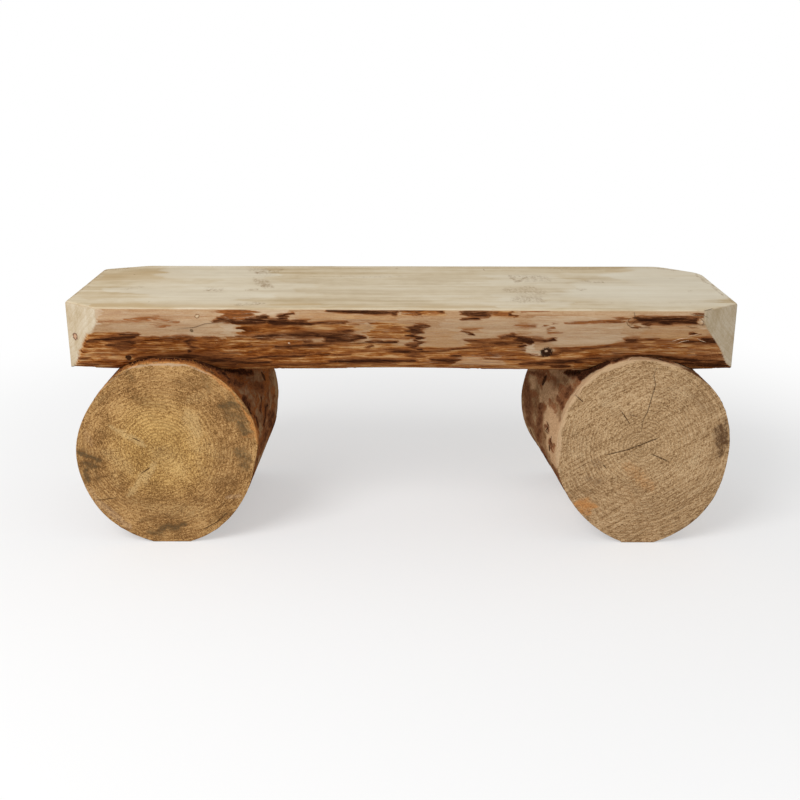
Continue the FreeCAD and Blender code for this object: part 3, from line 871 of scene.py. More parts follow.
RIGHT_PINK = (
    (557, 466, 560, 430, 2.6, .9), (560, 430, 566, 408, 3, .95), (566, 408, 582, 385, 3.4, 1),
    (582, 385, 600, 371, 3.4, 1), (600, 371, 636, 359, 2.8, .95), (658, 363, 686, 367.5, 1.4, .7),
    (640, 357.5, 660, 361, 2, .6), (600, 372, 618, 364, 2, .95), (618, 363.5, 636, 359, 1.7, 1),
    (636, 358.8, 654, 359.6, 1.6, 1), (654, 360.5, 690, 368, 1.5, .9), (690, 368, 706, 377, 1.4, .7),
)
RIGHT_CHECKS = (
    (((608, 455), (629, 450), (639, 446), (659, 438.5)), 1.0),
    (((658, 366), (654, 376), (656, 385), (652, 398), (648, 412), (643.5, 420.5), (641.5, 433)), .55),
    (((651, 454), (669, 462)), .7), (((621, 410.5), (631, 425.5)), .6), (((570, 390.5), (583, 402)), 1.0),
    (((638.6, 466), (641, 483)), .35), (((603.5, 465), (606.5, 468.5)), .7), (((572, 472), (590, 462)), .4),
    (((630, 415), (638, 417)), .5),
)
# Bark on the left leg's round side. The first stroke, and the strokes from (112, 376) to (228, 378), paint
# shadow under the seat over dark bark on the crown.
LEFT_SIDE_BARK_AND_SHADOW = (
    (226, 370, 252, 372, 4, .9), (228, 380, 242, 385, 4, .7), (257, 384, 263, 391, 5.5, .60),
    (244, 397, 251, 414, 3.8, .85), (272, 410, 271, 433, 3.0, 1.2), (256, 417, 259, 427, 2.0, .9),
    (267, 403, 265, 430, 1.3, .9), (274, 394, 275, 412, 1.2, .6), (262, 397, 261, 413, 1.1, .8),
    (269, 390, 270, 403, 1.0, .6), (257, 392, 255, 404, 1.0, .5), (248, 380, 254, 388, 1.6, .4),
    (267, 430, 260, 453, 3.4, 1.3), (112, 376, 124, 366, 3, 1), (124, 366, 150, 357.5, 3.4, 1),
    (150, 357, 190, 356.5, 3.6, 1), (190, 357, 216, 367, 4, 1), (216, 367, 228, 378, 3, .9),
)
LEFT_SIDE_RUST = (
    (118, 372, 150, 361, 1.6, 1), (150, 361, 190, 360.5, 1.6, 1), (190, 361, 216, 370, 2, 1),
    (214, 369, 232, 383, 2.4, .9), (232, 386, 248, 408, 2.2, .8), (264, 402, 266, 418, 1.8, 1),
    (254, 412, 258, 433, 2.6, 1), (228, 373, 234, 375, 2.6, .6), (264, 396, 270, 397, 1.2, .8),
    (236, 377, 247, 384, 4, .55), (259, 394, 256, 412, 1.3, .75), (268, 388, 265, 402, 1.2, .7),
    (250, 384, 254, 396, 2.0, .45), (273, 384, 274, 396, 1.2, .5),
)
LEFT_SIDE_PALE = (
    (276, 372, 277, 404, 2.4, .9), (261, 424, 263, 441, 2.0, 1), (246, 375, 262, 373, 4, .5),
    (238, 390, 244, 395, 2.2, .7), (254, 388, 261, 412, 3.5, .55), (270, 384, 271, 404, 2.5, .4),
)
# Bark on the right leg's round side. The first stroke, and the strokes from (580, 378) to (714, 379), paint
# shadow: the dark strip under the seat above the cut end.
RIGHT_SIDE_BARK_AND_SHADOW = (
    (566, 372, 586, 376, 4, .9), (570, 386, 566, 398, 4, .7), (546, 424, 548, 432, 1.3, .55),
    (541, 404, 538, 440, 3, .6), (526, 380, 530, 425, 4, .55), (558, 396, 563, 408, 3, .6),
    (550, 438, 552, 448, 1.3, .5), (528, 372, 545, 376, 3, .6), (580, 378, 610, 359, 4.5, 1.2),
    (610, 358, 632, 353.5, 4.5, 1.2), (632, 353.5, 650, 353.5, 4.5, 1.2), (650, 354, 674, 358, 4.5, 1.2),
    (674, 358, 702, 368, 4.5, 1.2), (702, 368, 714, 379, 3.5, 1.1),
)
RIGHT_SIDE_RUST = (
    (548, 400, 556, 412, 2.4, .6), (560, 386, 566, 400, 4, .7), (530, 392, 537, 396, 3, .6),
    (550, 438, 554, 452, 1.6, .6),
)
RIGHT_SIDE_PALE = (
    (550, 408, 554, 438, 7, 1.1), (549, 436, 557, 466, 5.5, 1.1), (544, 386, 558, 394, 4.5, .7),
    (534, 374, 532, 388, 4, .6), (540, 396, 541, 404, 1.8, .8), (552, 374, 566, 375, 3, .6),
)
MARKS = {
    "left": {
        "stain": LEFT_STAIN, "light": LEFT_LIGHT, "orange": LEFT_ORANGE, "pink": LEFT_PINK,
        "checks": LEFT_CHECKS, "bark": LEFT_SIDE_BARK_AND_SHADOW, "rust": LEFT_SIDE_RUST, "pale": LEFT_SIDE_PALE,
    },
    "right": {
        "stain": RIGHT_STAIN, "light": RIGHT_LIGHT, "orange": RIGHT_ORANGE, "pink": RIGHT_PINK,
        "checks": RIGHT_CHECKS, "bark": RIGHT_SIDE_BARK_AND_SHADOW, "rust": RIGHT_SIDE_RUST, "pale": RIGHT_SIDE_PALE,
    },
}
# Millimetres of a leg's front that one pixel of the photograph covers
PIXEL = 1.815


def paint_ends(side, mesh, points, normals, end):
    """The fields of both cut ends. The rear one carries the other leg's marks, turned round its own pith."""
    facts = LEGS[side]
    seed = facts["seed"]
    other = "right" if side == "left" else "left"
    own, turned = MARKS[side], MARKS[other]
    cx, cz = facts["centre"]
    ox, oy = LEGS[other]["pith"]
    front = points[:, 1] < facts["middle"]
    here = to_frame(points)
    behind = np.stack([ox + (points[:, 0] - cx) / PIXEL, oy - (points[:, 2] - cz) / PIXEL], 1)
    own_at = ragged(here, (7, 7), (1.8, 1.8), seed)
    turned_at = ragged(behind, (9, 9), (2, 2), seed + 9)
    own_haze_at = ragged(here, (9, 9), (4, 4), seed + 31)
    turned_haze_at = ragged(behind, (9, 9), (4, 4), seed + 33)
    rim_at = ragged(here, (7, 7), (0.7, 0.7), seed + 21)

    def drawn(own_places, own_table, turned_places, turned_table, soft):
        own_drawn = strokes(own_places, own_table, soft)
        return np.where(front, own_drawn, strokes(turned_places, turned_table, soft))

    core = drawn(own_at, own["stain"], turned_at, turned["stain"], 0.9)
    haze = drawn(own_haze_at, wider(own["stain"]), turned_haze_at, wider(turned["stain"]), 0.95)
    set_field(mesh, "stain", np.maximum(core, haze) * end)
    set_field(mesh, "light", drawn(own_at, own["light"], turned_at, turned["light"], 0.9) * end)
    # the front rim's orange and pink run over onto the round side
    seen = np.maximum(end, smooth(0.02, 0.14, facing(points, normals)))
    rim = np.where(front, seen, end * seen)
    set_field(mesh, "orange", drawn(own_at, own["orange"], turned_at, turned["orange"], 0.7) * rim)
    set_field(mesh, "pink", drawn(rim_at, own["pink"], turned_at, turned["pink"], 0.7) * rim)
    gap, opened = checks(here, own["checks"])
    turned_gap, turned_opened = checks(behind, turned["checks"])
    gap = np.where(front, gap, turned_gap) * PIXEL
    opened = np.where(front, opened, turned_opened) * end
    set_field(mesh, "gap", gap)
    set_field(mesh, "opened", opened)
    set_field(mesh, "end", end)
    return gap, opened


def paint_round_side(side, mesh, points, normals, end, holes):
    """Bark in long patches with painted shadow on the crown under the seat, warm inner bark and paler peeled
    wood. Gives how deep the side is worn.
    """
    facts = LEGS[side]
    seed = facts["seed"]
    own = MARKS[side]
    cx, cz = facts["centre"]
    around = np.arctan2(points[:, 2] - cz, points[:, 0] - cx)
    roll = np.stack([np.cos(around) * LOG_RADIUS, points[:, 1] * 0.30, np.sin(around) * LOG_RADIUS], 1)
    patch = layered(roll, (60, 60, 60), seed + 1)
    streak = layered(roll, (18, 18, 18), seed + 2, 4, 0.6)
    swirl = layered(roll, (26, 26, 26), seed + 4)
    shown = smooth(0.02, 0.14, facing(points, normals)) * (np.abs(normals[:, 1]) < 0.6)
    at = ragged(to_frame(points), (4, 5), (1.4, 1.6), seed + 3)
    bared = shown * strokes(at, own["pale"], 0.8)
    bark = smooth(0.20, 0.70, 0.7 * streak + 0.5 * patch) * 0.95
    bark = bark * (1 - 0.6 * shown) * (1 - np.clip(1.2 * bared, 0, 1))
    # the bark strokes include painted shadow under the seat
    bark = np.maximum(bark, shown * strokes(at, own["bark"], 0.8))
    rust = smooth(0.2, 0.8, swirl - 0.3 * patch) * 0.6 * (1 - np.clip(bared, 0, 1))
    rust = np.maximum(rust, shown * strokes(at, own["rust"], 0.8))
    pale = smooth(0.05, 0.75, -patch + 0.4 * streak)
    pale = np.maximum(pale * (1 - 0.5 * shown), bared)
    warm = smooth(-0.35, 0.45, swirl + 0.5 * patch) * (1 - np.clip(pale, 0, 1)) * (1 - 0.35 * shown)
    round_side = (1 - end) * (1 - holes)
    set_field(mesh, "bark", bark * round_side)
    set_field(mesh, "rust", rust * round_side)
    set_field(mesh, "pale", np.where(holes, 1.0, pale * round_side))
    set_field(mesh, "warm", warm * round_side)

    lumps = 0.5 + 0.5 * layered(roll, (34, 34, 34), seed + 6)
    worn = 0.6 * (1 - smooth(0.25, 0.6, bark)) + 0.6 * lumps + 0.2 * (0.5 + 0.5 * streak)
    degrees = np.degrees(around) % 360
    for place, half, dent in facts["flats"]:
        worn += dent * smooth(half, 0, np.abs((degrees - place + 180) % 360 - 180))
    return worn


def paint_leg(side, made):
    mesh = made.data
    points, normals = places_of(mesh), normals_of(mesh)
    height = points[:, 2]
    holes = bored(points, screw_places(side))
    end = smooth(0.35, 0.75, np.abs(normals[:, 1])) * (1 - holes)
    gap, opened = paint_ends(side, mesh, points, normals, end)
    worn = paint_round_side(side, mesh, points, normals, end, holes)
    # what stands on the floor or bears on the seat stays as the CAD has it
    sawn = 0.35 + 0.25 * layered(points, (16, 16, 16), LEGS[side]["seed"] + 7) + 0.35 * (end > 0.5)
    groove = 1.6 * opened * (1 - smooth(0.4, 2.6, np.abs(gap)))
    depth = (1 - end) * worn + end * np.clip(sawn + groove, 0, 2.4)
    contact = ((height > BEARING_HEIGHT - 6) | (height < 0.3)) & (end < 0.5)
    depth = np.where(holes | contact, 0, depth)
    moved = points - normals * depth[:, None]
    moved[:, 2] = np.maximum(moved[:, 2], 0)
    set_places(mesh, moved)


for side, made in legs.items():
    paint_leg(side, made)


# Materials


def put(tree, kind, values, out=0, **settings):
    """Adds a node and gives one of its outputs. Values that are sockets are linked, the others set."""
    made = tree.nodes.new("ShaderNode" + kind)
    for name, value in settings.items():
        setattr(made, name, value)
    for name, value in values.items():
        if isinstance(value, bpy.types.NodeSocket):
            tree.links.new(value, made.inputs[name])
        else:
            made.inputs[name].default_value = value
    return made.outputs[out]


class Shade:
    """One material, with short calls for the nodes it is made of. Sizes are in millimetres."""

    def __init__(self, name):
        self.material = bpy.data.materials.new(name)
        self.material.use_nodes = True
        self.tree = self.material.node_tree
        self.surface = self.tree.nodes["Principled BSDF"]
        self.place = self.put("TexCoord", {}, "Object")

    def put(self, kind, values, out=0, **settings):
        return put(self.tree, kind, values, out, **settings)

    def field(self, name):
        return self.put("Attribute", {}, "Fac", attribute_name=name)

    def math(self, how, a, b=0.0):
        return self.put("Math", {0: a, 1: b}, operation=how)

    def times(self, a, b):
        return self.math("MULTIPLY", a, b)

    def vector(self, how, a, b):
        return self.put("VectorMath", {0: a, 1: b}, operation=how)

    def length(self, way):
        return self.put("VectorMath", {0: way}, "Value", operation="LENGTH")

    def scaled(self, way, amount):
        """A vector times a number, which the node takes at its input 3."""
        return self.put("VectorMath", {0: way, 3: amount}, operation="SCALE")

    def noise_at(self, at, detail, rough, out="Fac", twist=0.0):
        """Noise with features as large as one unit of the places given."""
        values = {"Vector": at, "Scale": 1.0, "Detail": detail, "Roughness": rough, "Distortion": twist}
        return self.put("TexNoise", values, out)

    def noise(self, size, detail=3.0, rough=0.55, shift=0.0, out="Fac", twist=0.0):
        """Noise with features of the given size along each axis."""
        scale = [1 / (s * MM) for s in size]
        offset = (shift, shift * 1.7, shift * 0.6)
        at = self.put("Mapping", {"Vector": self.place, "Scale": scale, "Location": offset})
        return self.noise_at(at, detail, rough, out, twist)

    def ramp(self, value, *stops):
        """Colours by a value, which may run past 1."""
        span = max(1.0, stops[-1][0])
        if span > 1:
            value = self.math("DIVIDE", value, span)
        socket = self.put("ValToRGB", {"Fac": value})
        marks = socket.node.color_ramp.elements
        while len(marks) < len(stops):
            marks.new(0.5)
        for mark, (where, colour) in zip(marks, stops):
            mark.position = where / span
            mark.color = (*colour, 1)
        return socket

    def mask(self, value, low, high):
        """0 at low, 1 at high and an S curve between."""
        values = {"Value": value, "From Min": low, "From Max": high, "To Min": 0.0, "To Max": 1.0}
        return self.put("MapRange", values, interpolation_type="SMOOTHSTEP")

    def blend(self, amount, a, b, how="MIX"):
        """A mix of two colours, which the node takes at its inputs 6 and 7. It comes out at output 2."""
        return self.put("Mix", {0: amount, 6: a, 7: b}, 2, data_type="RGBA", blend_type=how)

    def over(self, under, amount, strength, colour):
        """A plain colour laid over what is under it."""
        return self.blend(self.times(amount, strength), under, (*colour, 1))

    def between(self, amount, a, b):
        """A mix of two numbers, which the same node takes at its inputs 2 and 3."""
        return self.put("Mix", {0: amount, 2: a, 3: b}, 0, data_type="FLOAT")

    def plus(self, *parts):
        """The sum of (socket, weight) pairs."""
        total = None
        for socket, weight in parts:
            part = self.times(socket, weight)
            total = part if total is None else self.math("ADD", total, part)
        return total

    def torn(self, name, coarse, coarse_amount, fine, fine_amount):
        """A field with its edge torn by two noises, and nothing where the field is nothing."""
        tear = self.plus((coarse, coarse_amount), (fine, fine_amount))
        tear = self.math("ADD", tear, 1 - 0.5 * (coarse_amount + fine_amount))
        return self.times(self.field(name), tear)

    def away_from(self, centre):
        """The way from a point to each place, in metres."""
        return self.vector("SUBTRACT", self.place, [c * MM for c in centre])

    def rings(self, flatten, centre, spacing, wander, shift=0.0):
        """Growth rings: how far through one each place is, its metres from the pith, and its way out."""
        push = self.vector("SUBTRACT", self.noise((90, 90, 90), 3.0, 0.5, shift, "Color"), (0.5, 0.5, 0.5))
        push = self.scaled(push, wander * MM)
        at = self.vector("MULTIPLY", self.vector("ADD", self.away_from(centre), push), flatten)
        away = self.length(at)
        count = self.times(away, 1 / (spacing * MM))
        uneven = self.put("TexNoise", {"W": count, "Scale": 0.31, "Detail": 2.0}, noise_dimensions="1D")
        count = self.math("ADD", count, self.times(uneven, 2.4))
        heading = self.put("VectorMath", {0: at}, operation="NORMALIZE")
        return self.math("FRACT", count), away, heading

    def slit(self, reach, opened, most):
        """1 in the middle of an open drying check, fading to its edge."""
        middle = self.mask(self.math("ABSOLUTE", self.field("gap")), reach, 0.15)
        return self.times(middle, self.mask(opened, 0.15, most))

    def finish(self, colour, roughness, height, depth):
        """Joins everything to the surface. The height's relief is depth millimetres deep."""
        self.tree.links.new(colour, self.surface.inputs["Base Color"])
        self.tree.links.new(roughness, self.surface.inputs["Roughness"])
        self.surface.inputs["Specular IOR Level"].default_value = 0.0
        bump = self.put("Bump", {"Height": height, "Strength": 1.0, "Distance": depth * MM})
        self.tree.links.new(bump, self.surface.inputs["Normal"])
        return self.material


def log_skin(w, lay, tones, twist=0.0, rip=(3.4, 2.6)):
    """Round log surface: bare wood, warm inner bark, rust smears and the bark left on it, with the painted
    shadow that the bark field carries.
    """
    fine = w.noise(lay(20, 1.7), 5.0, 0.72)
    streak = w.noise(lay(120, 7), 4.0, 0.6, 3.0, twist=twist)
    cloud = w.noise(lay(150, 40), 3.0, 0.5, 7.0)
    tear = w.noise(lay(36, 2.8), 6.0, 0.70, 11.0)
    bast = w.noise(lay(42, 5.0), 6.0, 0.70, 17.0, twist=twist)
    pores = w.noise(lay(3.4, 2.2), 3.0, 0.7, 19.0)

    age = w.plus((streak, 0.50), (cloud, 0.40), (fine, 0.46), (pores, 0.26), (w.field("warm"), 0.12))
    peeled = w.ramp(age, *tones["bare"])
    clean = w.mask(w.torn("pale", tear, 3.0, fine, 2.0), 0.15, 0.75)
    peeled = w.blend(w.times(clean, 0.85), peeled, w.ramp(fine, *tones["pale"]))
    inner = w.plus((bast, 1.30), (fine, 0.85), (streak, 0.80), (cloud, 0.60), (w.field("warm"), -0.30))
    inner = w.ramp(w.math("SUBTRACT", inner, 0.815), *tones["inner"])
    peeled = w.blend(w.mask(w.torn("warm", tear, 2.8, fine, 1.4), 0.08, 0.80), peeled, inner)
    rust_tone = w.ramp(fine, *tones["rust"])
    rusty = w.mask(w.torn("rust", tear, 4.0, fine, 4.0), 0.05, 0.65)
    peeled = w.blend(w.times(rusty, 0.95), peeled, rust_tone)
    # the bark field also holds painted shadow, which takes the dark bark colour here
    edge = w.torn("bark", tear, rip[0], fine, rip[1])
    peeled = w.blend(w.times(w.mask(edge, 0.0, 0.46), 0.85), peeled, rust_tone)
    barked = w.mask(edge, 0.10, 0.94)
    bark_tone = w.ramp(w.plus((fine, 0.80), (bast, 0.60), (w.mask(edge, 1.05, 0.30), 0.42)), *tones["dark"])
    colour = w.blend(barked, peeled, bark_tone)
    height = w.plus((fine, 0.7), (tear, 0.6), (barked, 0.3), (bast, 0.5), (pores, 0.25))
    noises = {"fine": fine, "streak": streak, "cloud": cloud, "tear": tear}
    return colour, barked, height, noises


def knot(w, colour, centre, radius, rough, body, ring):
    """A small knot round a place on the surface: its body, and the darker ring at its edge."""
    away = w.times(w.length(w.away_from(centre)), 1 / (radius * MM))
    away = w.math("ADD", away, w.times(w.math("SUBTRACT", rough, 0.5), 1.4))
    colour = w.over(colour, w.mask(away, 1.2, 0.70), 1.0, body)
    edge = w.mask(w.math("ABSOLUTE", w.math("SUBTRACT", away, 0.95)), 0.42, 0.05)
    return w.over(colour, edge, 0.85, ring)


def on_surface(made, at):
    """The point of a piece's surface that shows at a place in the photograph."""
    points, normals = places_of(made.data), normals_of(made.data)
    gap = np.hypot(*(to_frame(points) - at).T) + 1000 * (facing(points, normals) < 0.05)
    return points[np.argmin(gap)]


def nearest(made, place):
    """The point of a piece's surface nearest to a place."""
    points = places_of(made.data)
    return points[np.argmin(np.linalg.norm(points - np.array(place), axis=1))]


# Knots on the seat: place in the photograph, radius in millimetres, body and ring colours
SEAT_KNOTS = (
    ((197, 316.5), 3.6, (.62, .46, .29), (.20, .10, .042)),
    ((128, 357.5), 4.6, (.060, .022, .009), (.018, .007, .004)),
    ((75.5, 336.5), 6.0, (.50, .30, .185), (.12, .045, .024)),
    ((546, 352), 9.5, (.035, .014, .007), (.016, .006, .004)),
    ((546.6, 351.4), 3.4, (.46, .32, .21), (.060, .024, .012)),
    ((545.4, 352.6), 1.8, (.030, .012, .006), (.030, .012, .006)),
    ((191, 331), 3.0, (.20, .13, .07), (.12, .075, .04)),
    ((289.5, 343.5), 1.8, (.62, .50, .36), (.45, .30, .18)),
)
# Knots out of the photograph's sight: x, y, z, and radius
SEAT_FAR_KNOTS = (
    (-318, 197, 404, 7.5), (96, 197, 380, 4.5), (402, 197, 412, 9.0), (-120, 60, 314, 8.0),
    (150, -60, 314, 6.0),
)
# Knots on the legs' round sides: degrees round from the right, y, and radius
LEG_KNOTS = {
    "left": ((168, -70, 11), (200, 84, 8), (22, 60, 9), (-38, -20, 10), (128, 120, 6), (-15, -118, 5)),
    "right": ((8, -62, 12), (-24, 92, 8), (158, 40, 9), (205, 118, 7), (40, 130, 6), (190, -110, 6)),
}
# How far from the pith a leg's knots are sought
KNOT_REACH = 180

# Colours by kind of surface, most of them as stops along a noise: its value, then the colour
SEAT_TONES = {
    "bare": ((0.58, (.61, .445, .295)), (0.72, (.53, .36, .215)), (0.84, (.455, .275, .145)),
             (0.96, (.36, .19, .09)), (1.1, (.22, .10, .042))),
    "inner": ((0.46, (.080, .020, .004)), (0.58, (.185, .050, .010)), (0.68, (.30, .098, .021)),
              (0.78, (.42, .182, .054)), (0.94, (.58, .35, .160))),
    "rust": ((0.36, (.13, .034, .008)), (0.64, (.36, .13, .038))),
    "dark": ((0.62, (.023, .007, .004)), (0.80, (.064, .021, .008)), (0.98, (.148, .050, .018)),
             (1.16, (.27, .105, .036))),
    "pale": ((0.35, (.52, .375, .24)), (0.65, (.64, .50, .35))),
}
LEG_TONES = {
    "left": {
        "bare": ((0.58, (.50, .345, .20)), (0.72, (.37, .225, .122)), (0.86, (.24, .120, .058)),
                 (1.0, (.14, .056, .024)), (1.15, (.08, .030, .012))),
        "inner": ((0.50, (.045, .015, .005)), (0.64, (.115, .042, .014)), (0.78, (.21, .092, .034)),
                  (0.95, (.34, .185, .088))),
        "rust": ((0.38, (.17, .044, .010)), (0.62, (.40, .14, .036))),
        "dark": ((0.62, (.032, .011, .006)), (0.80, (.075, .027, .013)), (1.0, (.135, .056, .028)),
                 (1.16, (.21, .105, .055))),
        "pale": ((0.35, (.22, .115, .052)), (0.65, (.46, .295, .150))),
        "low": (.285, .150, .048), "mid": (.488, .276, .087), "high": (.72, .46, .172),
        "stain": (.085, .058, .030), "light": (.62, .42, .19), "pink": (.56, .39, .25),
        "outer": (.82, .78, .88),
    },
    "right": {
        "bare": ((0.62, (.56, .375, .21)), (0.76, (.42, .255, .13)), (0.90, (.25, .138, .068)),
                 (1.02, (.14, .070, .033)), (1.15, (.08, .036, .017))),
        "inner": ((0.50, (.058, .020, .008)), (0.64, (.135, .055, .022)), (0.78, (.245, .122, .054)),
                  (0.95, (.38, .23, .118))),
        "rust": ((0.38, (.15, .050, .018)), (0.62, (.32, .13, .055))),
        "dark": ((0.62, (.022, .008, .004)), (0.80, (.066, .022, .010)), (1.0, (.125, .050, .024)),
                 (1.16, (.20, .10, .055))),
        "pale": ((0.35, (.40, .225, .110)), (0.65, (.76, .51, .300))),
        "low": (.31, .182, .084), "mid": (.51, .325, .165), "high": (.68, .48, .275),
        "stain": (.075, .033, .015), "light": (.66, .48, .28), "pink": (.62, .42, .245),
        "outer": (.93, .92, .92),
    },
}


def along_seat(along, across):
    """Sizes for noise that runs along the seat."""
    return along, across, across


def along_leg(along, across):
    """Sizes for noise on a leg, shorter because its patches are less drawn out."""
    return across * 1.7, along * 0.30, across * 1.7


def sawn_top(w, late, noises):
    """The sawn top: long pale streaks from the rings under the saw, and its tan, grey and brown marks."""
    fine = noises["fine"]
    band = w.noise((300, 22, 22), 4.0, 0.55, 5.0)
    mottle = w.noise((24, 26, 26), 4.0, 0.6, 21.0)
    blotch = w.noise((210, 60, 60), 3.0, 0.55, 25.0)
    grain = w.plus((band, 0.62), (fine, 0.20), (noises["streak"], 0.28), (mottle, 0.22), (blotch, 0.60))
    sawn = w.ramp(grain, (0.80, (.50, .385, .235)), (0.96, (.62, .51, .345)), (1.12, (.70, .61, .46)))
    sawn = w.over(sawn, late, 0.20, (.46, .345, .20))
    tan = w.mask(w.torn("tan", band, 2.4, fine, 1.4), 0.05, 0.90)
    sawn = w.over(sawn, tan, 0.75, (.50, .345, .175))
    sawn = w.over(sawn, w.field("grey"), 0.68, (.745, .69, .565))
    crumb = w.noise((5.0, 13, 13), 4.0, 0.75, 29.0)
    stain = w.mask(w.torn("brown", crumb, 5.0, fine, 3.0), 0.10, 0.95)
    return w.over(sawn, stain, 0.66, (.27, .165, .085))


def seat_ends(w, late, speck, noises):
    """End grain on the corner cuts and the ends, with the drying checks."""
    smear = w.noise((30, 30, 70), 3.0, 0.6, 6.0)
    grain = w.plus((speck, 0.25), (smear, 0.55), (noises["cloud"], 0.2))
    ends = w.ramp(grain, (0.38, (.42, .32, .19)), (0.5, (.54, .44, .305)), (0.62, (.62, .535, .405)))
    ends = w.over(ends, late, 0.30, (.40, .28, .155))
    return w.over(ends, w.slit(0.9, w.field("opened"), 0.7), 0.85, (.10, .058, .03))


def seat_material():
    w = Shade("seat_wood_look")
    colour, barked, height, noises = log_skin(w, along_seat, SEAT_TONES)
    phase = w.rings((0, 1, 1), (0, 14, SEAT_TOP + 62), 6.5, 26, 2.0)[0]
    late = w.ramp(phase, (0.0, (0, 0, 0)), (0.6, (.25, .25, .25)), (0.9, (1, 1, 1)), (1.0, (0, 0, 0)))
    speck = w.noise((3.0, 3.0, 3.0), 3.0, 0.6, 4.0)
    colour = w.blend(w.field("top"), colour, sawn_top(w, late, noises))
    colour = w.blend(w.field("cut"), colour, seat_ends(w, late, speck, noises))
    for at, radius, body, ring in SEAT_KNOTS:
        colour = knot(w, colour, on_surface(seat, at), radius, speck, body, ring)
    for *place, radius in SEAT_FAR_KNOTS:
        place = nearest(seat, place)
        colour = knot(w, colour, place, radius, noises["tear"], (.085, .034, .013), (.018, .008, .004))
    smooth_cut = w.math("MAXIMUM", w.field("top"), w.field("cut"))
    height = w.times(height, w.between(smooth_cut, 1.0, 0.30))
    return w.finish(colour, w.between(barked, 0.62, 0.80), height, 1.2)


def leg_ends(w, facts, tones, speck, fuzz):
    """The leg's cut ends: growth rings round the pith, saw marks, stains and drying checks."""
    cx, cz = facts["centre"]
    phase, away, heading = w.rings((1, 0, 1), (cx, 0, cz), facts["spacing"], 14, facts["seed"])
    late = w.ramp(phase, (0.0, (0, 0, 0)), (0.40, (.15, .15, .15)), (0.80, (1, 1, 1)), (1.0, (0, 0, 0)))
    outward = w.put("CombineXYZ", {"Y": w.times(away, 1 / (3.6 * MM))})
    arcs = w.noise_at(w.vector("ADD", w.scaled(heading, 17.0), outward), 3.0, 0.75)
    turned = {"Vector": w.place, "Axis": (0, 1, 0), "Angle": facts["saw"]}
    turned = w.put("VectorRotate", turned, rotation_type="AXIS_ANGLE")
    saw = w.noise_at(w.put("Mapping", {"Vector": turned, "Scale": (14, 30, 330)}), 3.0, 0.65)
    blot = w.noise((48, 48, 48), 4.0, 0.55, 13.0)
    grain = w.plus((speck, 0.84), (fuzz, facts["fuzz"]), (saw, facts["sawn"]), (arcs, 1.08 - facts["fuzz"]),
                   (blot, 0.60 - facts["sawn"]))
    steps = [1.26 + step / facts["crisp"] for step in (-0.24, -0.12, 0.0, 0.16)]
    deepest = tuple(c * 0.62 for c in tones["low"])
    face = w.ramp(grain, *zip(steps, (deepest, tones["low"], tones["mid"], tones["high"])))
    clear = w.mask(w.noise((60, 60, 60), 3.0, 0.5, 5.0), 0.36, 0.66)
    broken = w.times(clear, w.mask(arcs, 0.36, 0.62))
    near_pith = w.mask(away, 0.055, 0.012)
    ring = w.plus((broken, 0.62), (arcs, 0.42), (near_pith, 0.24))
    face = w.over(face, late, ring, [c * 0.75 for c in tones["low"]])
    outer = w.blend(1.0, face, (*tones["outer"], 1), "MULTIPLY")
    face = w.blend(w.mask(away, 0.035, 0.135), face, outer)
    face = w.over(face, w.mask(w.torn("stain", fuzz, 4.5, speck, 5.0), 0.02, 1.00), 0.86, tones["stain"])
    face = w.over(face, w.mask(w.torn("light", fuzz, 4.0, speck, 4.0), 0.0, 1.1), 0.62, tones["light"])
    face = w.over(face, w.mask(away, 0.0045, 0.0025), 0.5, (.20, .10, .04))
    slit = w.slit(1.0, w.times(w.field("opened"), w.math("ADD", fuzz, 0.5)), 0.75)
    face = w.over(face, slit, 0.9, (.085, .045, .022))
    height = w.plus((speck, 0.9), (fuzz, 0.8), (arcs, 0.9), (late, -0.25), (saw, 0.7), (slit, -1.6))
    return face, height


def leg_material(side, tones):
    facts = LEGS[side]
    w = Shade(side + "_leg_wood_look")
    skin, barked, skin_height, noises = log_skin(w, along_leg, tones, 0.9, (2.6, 2.0))
    cx, cz = facts["centre"]
    for degrees, y, radius in LEG_KNOTS[side]:
        turn = math.radians(degrees)
        place = (cx + KNOT_REACH * math.cos(turn), y, cz + KNOT_REACH * math.sin(turn))
        place = nearest(legs[side], place)
        skin = knot(w, skin, place, radius, noises["tear"], (.075, .030, .012), (.022, .009, .005))
    speck = w.noise((2.3, 6.0, 2.3), 3.0, 0.75, 4.0)
    fuzz = w.noise((5.0, 9.0, 5.0), 5.0, 0.75, 9.0)
    face, face_height = leg_ends(w, facts, tones, speck, fuzz)
    colour = w.blend(w.field("end"), skin, face)
    orange = w.mask(w.torn("orange", fuzz, 2.2, speck, 1.6), 0.15, 0.85)
    orange_tone = w.ramp(noises["fine"], (0.35, (.36, .115, .026)), (0.62, (.66, .32, .105)))
    colour = w.blend(w.times(orange, 0.8), colour, orange_tone)
    pink = w.mask(w.torn("pink", fuzz, 1.0, speck, 0.8), 0.15, 0.7)
    colour = w.over(colour, pink, 0.8, tones["pink"])
    height = w.between(w.field("end"), skin_height, face_height)
    return w.finish(colour, w.between(barked, 0.72, 0.82), height, 1.2)


# Splinters and fibres, each a line of places in the photograph on one piece, with its width in millimetres

